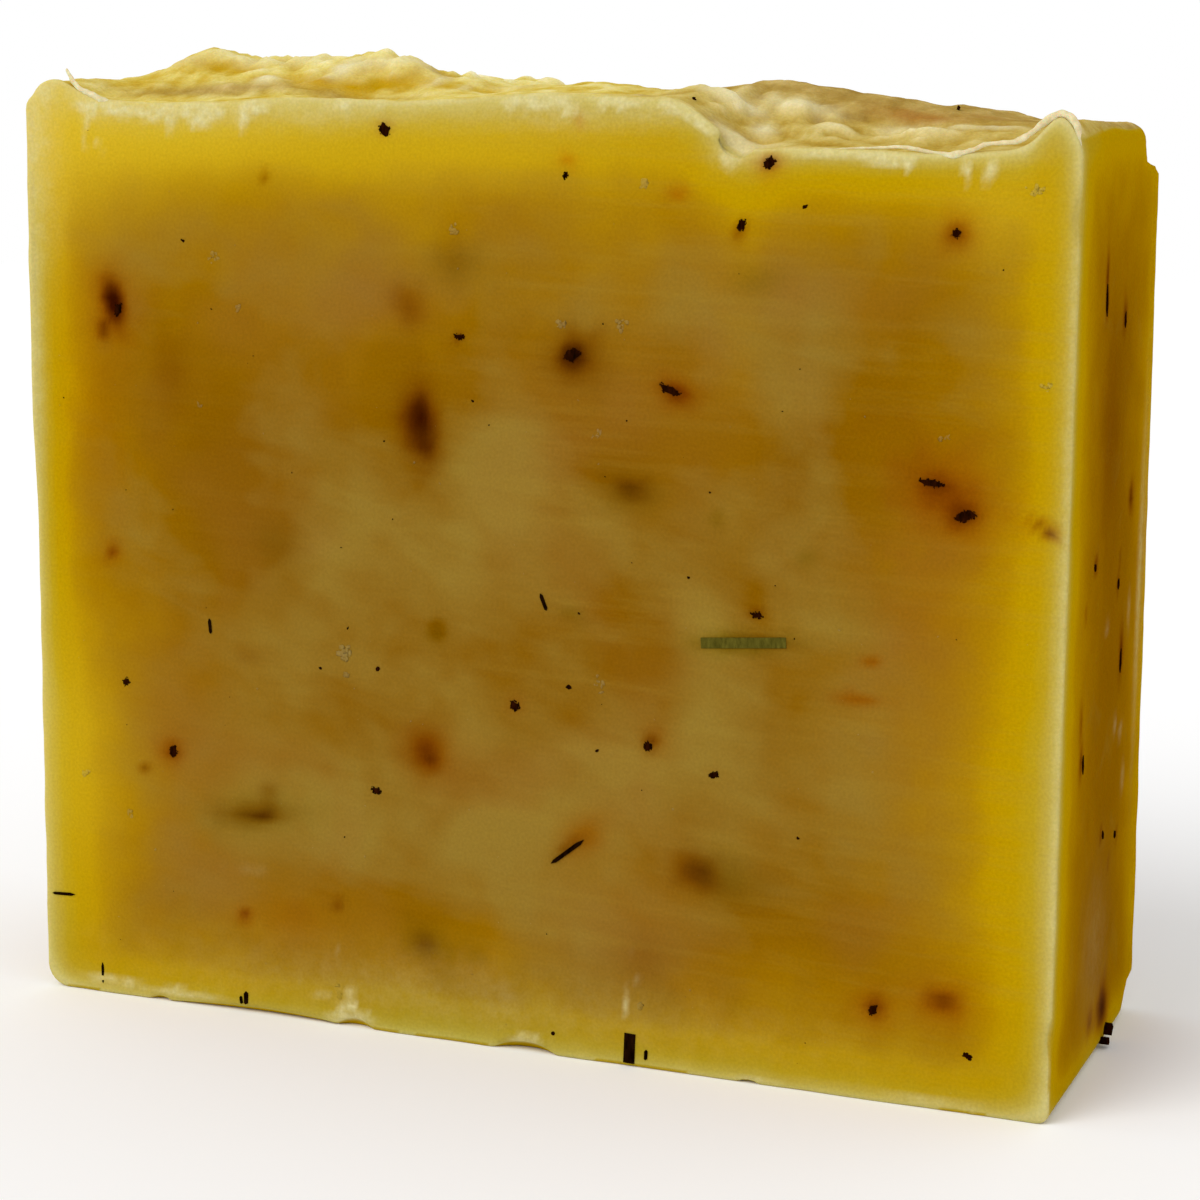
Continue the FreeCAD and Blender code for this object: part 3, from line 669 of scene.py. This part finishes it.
# Soap from its edges inwards: depth in mm and colour. The pale rim is partly soap dried paler at the
# edges and partly painted glow of light shining through the thin edges.
edge_colours_and_glow = (
    (0.0, "#ccbf78"), (0.35, "#c4b25a"), (0.7, "#bca540"), (1.3, "#b99b18"), (2.0, "#ba9602"),
    (3.0, "#b99200"), (4.0, "#ae8400"), (5.5, "#a37700"), (7.0, "#9b6e00"), (11.0, "#8d6000"),
    (20.0, "#835600"),
)
deepest_mm = 30.0

# What herbs under the surface do to the soap's colour, which is multiplied by these
spot_tints = {
    "olive": ((0.0, "#ffffff"), (0.5, "#e2e6a8"), (1.0, "#b4bd68")),
    "amber": ((0.0, "#ffffff"), (0.5, "#f8d584"), (1.0, "#e0a038")),
    "dark": (
        (0.0, "#ffffff"), (0.25, "#e2cc98"), (0.5, "#b08a4a"), (0.75, "#70441e"), (1.0, "#341006"),
    ),
}

# The crust from its hollows to its tops: cream soap, and brown soap where it lies low. Over the soap's
# own gold hollows and pale dried tops, the hollows are darkened with painted shade and the tops
# lightened with painted highlight.
cream_folds_with_painted_light = (
    (0.0, "#b38a0c"), (0.3, "#ceae40"), (0.55, "#e0cb6c"), (0.8, "#ebdc92"), (1.0, "#f6ecbc"),
)
brown_folds_with_painted_light = (
    (0.0, "#84642c"), (0.3, "#9f7f3c"), (0.55, "#b0914c"), (0.8, "#c8ab66"), (1.0, "#dfc88c"),
)
crust_shades = (("crust_red", "#a26d2c"), ("crust_gold", "#bf9400"), ("crust_white", "#e9dfae"))
milk_shade = "#94772c"
blush_shade = "#916424"
bright_shade = "#dfbe2c"
drag_shade = "#a98d33"
smear_shade = "#dad097"
grit_shades = ((0.3, "#f0f0ee"), (0.7, "#ffffff"))


def cold_process_soap():
    """Cold-process soap, poured, set and wire cut: translucent and waxy, dried paler at its edges, with
    a painted glow of light through its thin edges.

    It gives the eye a pale rim, a yellow band and a tan middle, cloudy and clear places, drag
    lines from the wire, and blurred spots where herbs lie under the surface.
    """
    material, tree, surface, place = new_material("cold_process_soap", {
        "IOR": 1.45,
        "Specular IOR Level": 0.0,
        "Subsurface Weight": 0.15,
        "Subsurface Radius": (1.0, 0.55, 0.15),
        "Subsurface Scale": 1.0 * MM,
    })
    stored = {
        name: add_node(tree, "ShaderNodeAttribute", out="Fac", attribute_name=name)
        for name in skin_values
    }
    share = maths(tree, "DIVIDE", stored["depth"], deepest_mm)
    # The pale rim from this ramp is partly painted glow of light through the thin edges
    colour = ramp(tree, share, [(mm / deepest_mm, shade) for mm, shade in edge_colours_and_glow])

    # Cloudy strands about 3 mm thick that lean with the pour, over the broad cloudy places
    strands = grains_of(tree, stretched(tree, place, (2.6, 1.0, 1.0), 14.0), 3.2, 4.0, 0.5, 0.8)
    milk = maths(tree, "ADD", drawn_out(tree, strands, 0.3, 0.7, -0.18, 0.18), stored["milky"])
    inner = drawn_out(tree, stored["depth"], 3.0, 9.0, 0.0, 0.95)
    milk = maths(tree, "MULTIPLY", drawn_out(tree, milk, 0.1, 0.95), inner)
    colour = mixed(tree, milk, colour, milk_shade)
    colour = mixed(tree, maths(tree, "MULTIPLY", stored["blush"], inner), colour, blush_shade)
    colour = mixed(tree, stored["bright"], colour, bright_shade)

    # Drag lines of the wire, about 0.9 mm apart and 13 mm long
    lines = grains_of(tree, stretched(tree, place, (14.0, 1.0, 1.0), 3.0), 0.9)
    drag = maths(tree, "MULTIPLY", drawn_out(tree, lines, 0.48, 0.75, 0.0, 0.14), stored["drag"])
    colour = mixed(tree, drag, colour, drag_shade)

    for name, stops in spot_tints.items():
        colour = mixed(tree, 1.0, colour, ramp(tree, stored[name], stops), "MULTIPLY")

    # The crust: cream where it stands up, brown where it lies low, gold where it is torn open. Its tops
    # carry painted highlight, its hollows painted shade, and the valley behind the front cut a painted
    # shadow
    grain = drawn_out(tree, grains_of(tree, place, 1.3, 4.0), 0.3, 0.7, -0.18, 0.18)
    folds = maths(tree, "ADD", grain, stored["crust_fold"])
    cream, brown = ramp(tree, folds, cream_folds_with_painted_light), ramp(tree, folds, brown_folds_with_painted_light)
    # Brown for tan soap, and as painted shadow in the valley behind the front cut
    top = mixed(tree, stored["crust_tan_and_valley_shadow"], cream, brown)
    for name, shade in crust_shades:
        top = mixed(tree, stored[name], top, shade)
    colour = mixed(tree, stored["crust"], colour, top)

    # Smeared soap, in soft grains of 0.6 mm, and a fine grit over everything
    smeared = drawn_out(tree, grains_of(tree, place, 0.6), 0.3, 0.65, 0.45, 0.95)
    colour = mixed(tree, maths(tree, "MULTIPLY", smeared, stored["pale"]), colour, smear_shade)
    grit = ramp(tree, grains_of(tree, place, 0.2, 2.0, 0.5), grit_shades)
    colour = mixed(tree, 1.0, colour, grit, "MULTIPLY")
    tree.links.new(colour, surface["Base Color"])

    waxy = grains_of(tree, place, 2.5, 3.0, 0.5)
    tree.links.new(drawn_out(tree, waxy, 0.3, 0.7, 0.70, 0.86), surface["Roughness"])
    relief = maths(tree, "MULTIPLY_ADD", lines, 0.5, grains_of(tree, place, 0.35, 4.0))
    torn = maths(tree, "MULTIPLY", grain, 9.0)
    relief = maths(tree, "MULTIPLY_ADD", torn, stored["crust"], relief)
    raise_relief(tree, surface, relief, 0.3, 0.10)
    return material


def mottled(name, finish, size, stops, stretch, relief):
    """A mottled material: noise of that size in mm, drawn out by stretch, gives the colours of
    the stops and a fine relief in mm."""
    material, tree, surface, place = new_material(name, finish)
    grain = grains_of(tree, stretched(tree, place, stretch), size, 4.0)
    tree.links.new(ramp(tree, grain, stops), surface["Base Color"])
    raise_relief(tree, surface, grain, 0.4, relief)
    return material


def dried_soap():
    """The same soap as threads: thin, so it has dried right through, chalky and pale."""
    finish = {
        "Roughness": 0.75,
        "Specular IOR Level": 0.1,
        "Subsurface Weight": 0.3,
        "Subsurface Scale": 0.5 * MM,
    }
    stops = ((0.3, "#c9bd8a"), (0.5, "#d8cc9e"), (0.7, "#eadfb6"))
    return mottled("dried_soap", finish, 0.5, stops, (1.0, 1.0, 1.0), 0.05)


def dried_herb(name, stops):
    """Dried leaf or stem, crushed: matt and fibrous, fibres 0.25 mm thick, with a rusty cast."""
    finish = {"Roughness": 0.85, "Specular IOR Level": 0.0}
    return mottled(name, finish, 0.25, stops, (1.0, 1.0, 3.0), 0.05)


# What each piece of soap stores at its vertices for the soap's material
skin_values = (
    "depth", "milky", "blush", "bright", "drag", "dark", "amber", "olive", "pale",
    "crust", "crust_fold", "crust_gold", "crust_white", "crust_red", "crust_tan_and_valley_shadow",
)


def crust_folds(points):
    """Lumps of torn soap from 0 to 1: the size of smooth noise, so that rounded lumps meet in
    sharp creases, at 3.4 mm and at 1.5 mm."""
    large, small = np.abs(noise(points, 3.4, 43)), np.abs(noise(points, 1.5, 44))
    return np.clip(0.75 * large + 0.55 * small, 0.0, 1.0)


def raggedness(points):
    """The noise that makes the outlines of stains ragged."""
    return cloud(points, 1.1, 61)


def smeared_soap(points):
    """Where the wire left smeared soap, 0 to 1: the smears with ragged outlines."""
    shown = stain(points[:, 0], points[:, 2], smears, 1.8 * raggedness(points))
    return smooth_step(1.9 * shown - 0.25)


def on_side(side, others, fade, start=0.5):
    """How far points are on a side, 0 to 1: its distance less those of the others, over fade mm."""
    return smooth_step((side - np.max(others, axis=0)) / fade + start)


def skin_colours(piece, points, folds=0.0, least_pale=0.0):
    """Store what the soap's material reads: depth behind the edges, stains, crust and smears.

    Folds is how far the crust stands up, and nothing is less pale than least_pale.
    """
    left, right, base, front, back, crust = side_distances(points)
    x, y, z = points.T
    ragged = raggedness(points)
    swirl = points + 3.5 * np.stack([cloud(points, 8.0, seed, 2) for seed in (81, 82, 83)], axis=1)
    on_front = on_side(front, [left, right, base, crust], 0.8)
    on_wall = on_side(right, [front, back, base, crust], 0.8)
    tan = smooth_step((x - 2.0) / 12.0) * (0.55 + 0.4 * smooth_step((y + 7.0) / 5.0))

    milky = 0.36 + 0.42 * cloud(swirl, 7.0, 91)
    milky += 0.75 * stain(x, z, milky_patches, ragged) - 0.95 * stain(x, z, clear_patches, ragged)
    blush = 0.35 * smooth_step(0.3 + cloud(swirl, 9.0, 95, 2)) + stain(x, z, blush_patches, ragged)
    dark = stain(x, z, dark_spots, ragged) * on_front + stain(y, z, wall_dark_spots, ragged) * on_wall
    rim = 0.34 + 0.30 * noise(points, 1.5, 71) + 0.12 * noise(points, 0.6, 72)
    pale_rim = 0.8 * smooth_step(1.2 - np.maximum(-crust, 0.0) / np.maximum(rim, 0.08))
    pale_edge = 0.75 * np.exp(-np.maximum(-right, 0.0) / 0.35)
    soft_pale = stain(x, z, pale_places, 0.0) * (0.85 + 0.3 * ragged)
    pale = np.maximum(
        np.max([pale_rim, pale_edge, smeared_soap(points), soft_pale], axis=0) * on_front,
        stain(y, z, wall_pale_spots, ragged) * on_wall,
    )
    uneven = 1.0 + 0.16 * cloud(points, 7.0, 51) + 0.10 * cloud(points, 2.0, 55, 2)
    values = (
        edge_depth(points) * uneven,
        np.clip(milky, 0.0, 1.0) * (1.0 - 0.9 * on_wall),
        np.clip(blush, 0.0, 1.0) * (1.0 - on_wall),
        stain(x, z, bright_patches, 0.0) * on_front,
        on_front * (0.35 + 0.65 * smooth_step((x + 12.0) / 20.0)),
        dark,
        stain(x, z, amber_spots, ragged) * on_front + 0.10 * on_wall,
        stain(x, z, olive_spots, ragged) * on_front,
        np.maximum(pale, least_pale),
        on_side(crust, [left, right, base, front, back], 0.5, 0.35),
        np.clip(0.45 + 1.3 * folds + 0.22 * cloud(points, 1.8, 46, 2), 0.0, 1.0),
        stain(x, y, crust_gold, ragged),
        stain(x, y, crust_white, ragged),
        stain(x, y, crust_red, ragged),
        np.maximum(stain(x, y, crust_tan_and_valley_shadow, ragged), tan),
    )
    for name, value in zip(skin_values, values):
        attribute = piece.data.attributes.new(name, "FLOAT", "POINT")
        attribute.data.foreach_set("value", value.astype(np.float32))


def soap_skin(material):
    """The whole bar: a box of cells settled on the bar's distance, with fine relief on top."""
    counts = (224, 70, 104)
    steps, faces = box_lattice(counts)
    across = places(counts[0], 0.6, 0.6, 0.03)[steps[:, 0]]
    along = places(counts[1], 0.7, 0.5, 0.08)[steps[:, 1]]
    up = places(counts[2], 0.55, 0.75, 0.06)[steps[:, 2]]
    x = -half_width + loaf_width * across
    z = up * crust_height(x, front_y + slice_thickness * along)
    y = front_y + (back_y(z) - front_y) * along
    points, outward = settle(np.stack([x, y, z], axis=1), bar_distance)

    left, right, base, front, back, crust = side_distances(points)
    x, y, z = points.T
    on_crust = on_side(crust, [left, right, base, front, back], 1.0, 0.3)
    dragged = points * np.array((0.25, 1.0, 1.0))
    relief = 0.015 * cloud(dragged, 1.6, 21) + 0.010 * cloud(points, 0.9, 31, 2)
    relief += 0.12 * smeared_soap(points) * smooth_step((front + 0.5) / 0.4)
    folds = crust_folds(points)
    ragged = raggedness(points)
    lumpy = stain(x, y, lumpy_places, 0.0)
    torn = np.abs(noise(points, 1.9, 47)) + 0.6 * np.abs(noise(points, 0.95, 48))
    crumbly = (0.12 + 0.55 * lumpy) * (torn - 0.4)
    lumps = 0.06 * cloud(points, 2.4, 41) + 1.2 * lumpy * (folds - 0.36) + crumbly
    lumps += 0.28 * stain(x, y, crust_white, ragged) - 0.30 * stain(x, y, crust_gold, ragged)
    lumps += stain(x, y, crust_rises, 0.0) * 0.9 - stain(x, y, crust_valleys, 0.0) * 0.6
    relief += 0.25 * smooth_step((z - 34.0) / 10.0) * smooth_step((left + 0.4) / 0.4)
    relief += 0.30 * smooth_step((back + 0.4) / 0.4)
    relief = relief * (1.0 - on_crust) + lumps * on_crust

    settled = points + outward * relief[:, None]
    settled[:, 2] = np.maximum(settled[:, 2], 0.0)
    skin = new_piece("soap_skin", settled, faces, material)
    skin_colours(skin, points, lumpy * (folds - 0.34) + 0.8 * crumbly)
    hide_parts("soap_bar")


def smooth_path(knots, spacing):
    """Points about spacing apart on the smooth curve through the knots.

    Between two knots the curve is the cubic whose slope at a knot is half the step from the knot
    before it to the one after it.
    """
    knots = np.array(knots)
    before = np.concatenate((knots[:1], knots[:-1]))
    after = np.concatenate((knots[1:], knots[-1:]))
    slopes = (after - before) / 2.0
    parts = []
    for start, end, slope, next_slope in zip(knots[:-1], knots[1:], slopes[:-1], slopes[1:]):
        count = max(2, int(np.linalg.norm(end[:3] - start[:3]) / spacing))
        t = (np.arange(count) / count)[:, None]
        parts.append(
            (2 * t ** 3 - 3 * t ** 2 + 1) * start + (t ** 3 - 2 * t ** 2 + t) * slope
            + (3 * t ** 2 - 2 * t ** 3) * end + (t ** 3 - t ** 2) * next_slope
        )
    parts.append(knots[-1:])
    return np.concatenate(parts)


def closed_tube(rings, start, end):
    """Points and triangles of a tube through rings of points, closed by a point at each end."""
    count, sides = rings.shape[:2]
    points = np.concatenate([rings.reshape(-1, 3), [start], [end]])
    here = np.arange(sides)
    following = (here + 1) % sides
    near = (np.arange(count - 1)[:, None] * sides + here[None, :]).ravel()
    aside = (np.arange(count - 1)[:, None] * sides + following[None, :]).ravel()
    last = (count - 1) * sides
    faces = np.concatenate([
        np.stack([near, near + sides, aside + sides], axis=1),
        np.stack([near, aside + sides, aside], axis=1),
        np.stack([np.full(sides, len(points) - 2), here, following], axis=1),
        np.stack([np.full(sides, len(points) - 1), last + following, last + here], axis=1),
    ])
    return points, faces


def thread(knots, seed, sides=8, spacing=0.12):
    """A lumpy thread along knots of x, y, z and half thickness, closed at both ends.

    Each ring's points are middle + radius (cos a U + sin a V), with U and V across the path and
    the radius pushed about by noise.
    """
    path = smooth_path(knots, spacing)
    sway = np.stack([noise(path[:, :3], 0.8, seed + n) for n in range(3)], axis=1)
    middle = path[:, :3] + 0.05 * sway
    along = np.gradient(middle, axis=0)
    along /= np.linalg.norm(along, axis=1)[:, None]
    u = np.cross(along, np.array((0.0, 1.0, 0.0)))
    u /= np.linalg.norm(u, axis=1)[:, None]
    v = 0.6 * np.cross(along, u)
    angle = np.arange(sides) * 2.0 * math.pi / sides
    ring = np.cos(angle)[None, :, None] * u[:, None] + np.sin(angle)[None, :, None] * v[:, None]
    flat = (middle[:, None] + ring * path[:, 3][:, None, None]).reshape(-1, 3)
    push = 1.0 + 0.45 * cloud(flat, 0.6, seed + 5, 2)
    rings = middle[:, None] + ring * (path[:, 3][:, None] * push.reshape(-1, sides))[:, :, None]
    return closed_tube(rings, middle[0], middle[-1])


def wire_burr(material):
    """The curl of soap that the wire dragged out behind the right wall.

    Each ring runs from the wall to the tip and down to its inner foot: with s the share of the
    way to the tip from either side, it stands out by 1.06 - hypot(1 - s, 0.06) of its reach.
    """
    heights, reaches = np.array(burr_profile).T
    z = np.linspace(heights[0], heights[-1], 90)[:, None]
    inwards = np.linspace(0.0, 1.0, 26)[None, :]
    tip = burr_tip_inset / burr_width
    share = np.where(inwards < tip, inwards / tip, ((1.0 - inwards) / (1.0 - tip)) ** 1.4)
    uneven = 1.0 + 0.15 * cloud(z * np.array((0.0, 0.0, 1.0)), 1.6, 121)[:, None]
    reach = np.interp(z, heights, reaches) * uneven
    out = (reach + burr_foot) * (1.06 - np.hypot(1.0 - share, 0.06))
    x = half_width - burr_inset - burr_width * inwards
    rings = np.stack(np.broadcast_arrays(x, back_y(z) - burr_foot + out, z), axis=-1)
    flat = rings.reshape(-1, 3)
    flat = flat + 0.08 * np.stack([noise(flat, 1.4, seed) for seed in (123, 124, 125)], axis=1)
    ends = rings[0].mean(axis=0), rings[-1].mean(axis=0)
    points, faces = closed_tube(flat.reshape(rings.shape), *ends)
    burr = new_piece("wire_burr", points, faces, material)
    skin_colours(burr, points)


def joined(parts):
    """Several sets of points and faces as one set."""
    points, faces = zip(*parts)
    offsets = np.cumsum([0] + [len(part) for part in points[:-1]])
    return np.concatenate(points), np.concatenate([part + o for part, o in zip(faces, offsets)])


def wire_threads(material):
    """Threads that the wire left along the front edge, at its two corners."""
    points, faces = joined([thread(curl_at_left_corner, 101), thread(arch_at_right_corner, 111)])
    new_piece("wire_threads", points, faces, material)


def unit_ball(rows, columns):
    """A closed ball of few faces: rows of points down, columns round, and a point at each pole."""
    down = (np.arange(1, rows) * math.pi / rows)[:, None]
    turn = (np.arange(columns) * 2.0 * math.pi / columns)[None, :]
    across = np.sin(down) * np.cos(turn), np.sin(down) * np.sin(turn)
    rings = np.stack(np.broadcast_arrays(*across, np.cos(down)), axis=-1)
    return closed_tube(rings, (0.0, 0.0, 1.0), (0.0, 0.0, -1.0))


def strewn(middles, outward, sizes, thickness, seed, rows=5, columns=7):
    """Many small lumps: balls made uneven by noise, laid flat against their face.

    Each is stretched by its sizes across the face and by thickness times its mean size outwards.
    """
    rng = np.random.default_rng(seed)
    ball, ball_faces = unit_ball(rows, columns)
    count = len(middles)
    uneven = 1.0 + 0.35 * rng.standard_normal((count, len(ball), 1)).clip(-1.5, 1.5)
    helper = np.where(np.abs(outward[:, 2:]) > 0.8, (1.0, 0.0, 0.0), (0.0, 0.0, 1.0))
    u = np.cross(helper, outward)
    u /= np.linalg.norm(u, axis=1)[:, None]
    v = np.cross(outward, u)
    turn = rng.uniform(0.0, 2.0 * math.pi, count)[:, None]
    u, v = np.cos(turn) * u + np.sin(turn) * v, np.cos(turn) * v - np.sin(turn) * u
    local = ball[None] * uneven
    height = thickness * sizes.mean(axis=1)
    points = (
        middles[:, None]
        + local[:, :, :1] * (u * sizes[:, :1])[:, None]
        + local[:, :, 1:2] * (v * sizes[:, 1:])[:, None]
        + local[:, :, 2:] * (outward * height[:, None])[:, None]
    )
    faces = (ball_faces[None] + (np.arange(count) * len(ball))[:, None, None]).reshape(-1, 3)
    return points.reshape(-1, 3), faces


def strewn_on_front(x, z, *lumps):
    """Lumps on the front cut, with their sizes, thickness and seed as in strewn."""
    middles = np.stack([x, np.full(len(x), front_y), z], axis=1)
    return strewn(middles, np.tile(OUT_FRONT, (len(x), 1)), *lumps)


def pale_crumbs(material):
    """Flat crumbs of soap on the front cut: the groups seen there and a fine strewing."""
    rng = np.random.default_rng(5)
    parts = []
    for x, z, spread, count, half in crumb_groups:
        place = rng.normal(0.0, 0.5 * spread, (count, 2))
        sizes = half * rng.uniform(0.6, 2.2, (count, 2))
        low = np.maximum(z + place[:, 1], 0.15 + sizes.max(axis=1))
        seed = int(count * 7 + 10 * spread)
        parts.append(strewn_on_front(x + place[:, 0], low, sizes, 0.10, seed))
    count = 150
    x = rng.uniform(-37.0, 37.0, count)
    z = 62.0 * rng.uniform(0.01, 1.0, count) ** 1.3
    z = np.minimum(z, front_edge_height(x) - 0.5)
    sizes = rng.uniform(0.02, 0.05, (count, 2)) * rng.choice([1.0, 1.0, 1.0, 1.9], (count, 1))
    parts.append(strewn_on_front(x, z, sizes, 0.3, 17, 4, 5))
    points, faces = joined(parts)
    crumbs = new_piece("pale_crumbs", points, faces, material)
    skin_colours(crumbs, points, least_pale=0.12)


# Leaf dust seen on the front cut: x, z and half size, and on the crust: x and y
dust_on_front = (
    (-25.3, 55.6, 0.13), (20.4, 58.2, 0.17), (-10.1, 26.2, 0.14), (4.4, 26, 0.17), (14.3, 39.7, 0.1),
    (-9.5, 42.1, 0.09), (-2.8, 45.1, 0.12), (12.9, 34, 0.09), (6.5, 21.8, 0.15), (-14.6, 25.9, 0.11),
    (20.8, 17.2, 0.12), (-28.8, 64.5, 0.16), (3.4, 1.6, 0.12), (-33, 63.3, 0.1), (-12.4, 28.9, 0.1),
    (5.1, 31.1, 0.1),
)
dust_on_crust = ((27.2, -1.4), (11.9, -10.4))


def leaf_dust(material):
    """Specks of crushed leaf: those seen on the front and the crust, a fine strewing, and broken
    bits round the outlines of the flecks in the front cut."""
    rng = np.random.default_rng(9)
    seen = np.array(dust_on_front)
    sizes = seen[:, 2:] * rng.uniform(0.6, 1.2, (len(seen), 2))
    parts = [strewn_on_front(seen[:, 0], seen[:, 1], sizes, 0.3, 31)]
    count = 34
    x = rng.uniform(-36.0, 36.0, count)
    z = rng.uniform(1.0, 60.0, count)
    sizes = rng.uniform(0.03, 0.08, (count, 2))
    parts.append(strewn_on_front(x, z, sizes, 0.4, 37, 4, 5))
    x, y = np.array(dust_on_crust).T
    top = np.stack([x, y, crust_height(x, y)], axis=1)
    up = np.tile((0.0, 0.0, 1.0), (len(x), 1))
    parts.append(strewn(top, up, rng.uniform(0.12, 0.3, (len(x), 2)), 0.7, 41))
    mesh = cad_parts["leaf_flecks_front"].data
    corners = np.empty(3 * len(mesh.vertices))
    mesh.vertices.foreach_get("co", corners)
    used = np.empty(len(mesh.loops), dtype=np.int32)
    mesh.loops.foreach_get("vertex_index", used)
    faces = corners.reshape(-1, 3)[used].reshape(-1, 3, 3) / MM
    faces = faces[(faces[:, :, 1] < front_y + 0.02).all(axis=1)]
    share = rng.uniform(0.0, 1.0, (5,) + faces.shape[:2] + (1,))
    rims = (faces + share * (np.roll(faces, 1, axis=1) - faces)).reshape(-1, 3)
    rims[:, ::2] += rng.normal(0.0, 0.05, (len(rims), 2))
    sizes = rng.uniform(0.03, 0.10, (len(rims), 2))
    parts.append(strewn_on_front(rims[:, 0], rims[:, 2], sizes, 0.3, 43, 4, 5))
    points, faces = joined(parts)
    new_piece("leaf_dust", points, faces, material)


def dress_herbs():
    """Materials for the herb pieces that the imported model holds. It gives the leaf's."""
    leaf = dried_herb("dried_leaf", ((0.35, "#0e0400"), (0.7, "#2e1003")))
    stem = dried_herb("dried_stem", ((0.35, "#0a0300"), (0.7, "#221004")))
    green = dried_herb("dried_green_stem", ((0.35, "#453f10"), (0.65, "#5e561c")))
    finishes = {
        "green_stem": green,
        "leaf_flecks_front": leaf,
        "stem_slivers_front": stem,
        "stem_bits_base_edge": stem,
        "leaf_bits_right_wall": leaf,
        "leaf_bits_base_corner": leaf,
    }
    for name, material in finishes.items():
        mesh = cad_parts[name].data
        mesh.materials.clear()
        mesh.materials.append(material)
    return leaf


def make_floor():
    """A plain pale floor, level with the bar's base."""
    half = 3.0
    corners = [(-half, -half, 0.0), (half, -half, 0.0), (half, half, 0.0), (-half, half, 0.0)]
    mesh = bpy.data.meshes.new("floor")
    mesh.from_pydata(corners, [], [(0, 1, 2, 3)])
    white = {"Base Color": linear("#fefefe"), "Roughness": 0.9, "Specular IOR Level": 0.0}
    mesh.materials.append(new_material("white_card", white)[0])
    floor = new_object("floor", mesh)


def make_key_light():
    """A soft key from the upper front left."""
    data = bpy.data.lights.new("key", "SUN")
    data.energy = key_strength
    data.angle = math.radians(key_width)
    lamp = new_object("key", data)
    lamp.rotation_euler = Euler((math.radians(key_lean), 0.0, math.radians(key_turn)))


def make_studio():
    """White surroundings, a quarter dimmer as light than to the camera, the key and the camera."""
    world = bpy.data.worlds.new("studio")
    world.use_nodes = True
    background = world.node_tree.nodes["Background"]
    background.inputs["Color"].default_value = (1.0, 1.0, 1.0, 1.0)
    seen = add_node(world.node_tree, "ShaderNodeLightPath", out="Is Camera Ray")
    strength = drawn_out(world.node_tree, seen, 0.0, 1.0, 0.75)
    world.node_tree.links.new(strength, background.inputs["Strength"])
    bpy.context.scene.world = world
    make_key_light()

    data = bpy.data.cameras.new("camera")
    data.lens = camera_lens
    data.sensor_width = sensor_width
    data.clip_start = 0.01
    camera = new_object("camera", data)
    heading = Euler((math.radians(90.0 + camera_pitch), 0.0, math.radians(camera_heading)))
    roll = Matrix.Rotation(math.radians(camera_roll), 4, "Z")
    camera.matrix_world = Matrix.Translation(camera_place) @ heading.to_matrix().to_4x4() @ roll
    bpy.context.scene.camera = camera
    bpy.context.scene.view_settings.view_transform = "Standard"


soap = cold_process_soap()
soap_skin(soap)
wire_burr(soap)
wire_threads(dried_soap())
pale_crumbs(soap)
leaf_dust(dress_herbs())
make_floor()
make_studio()
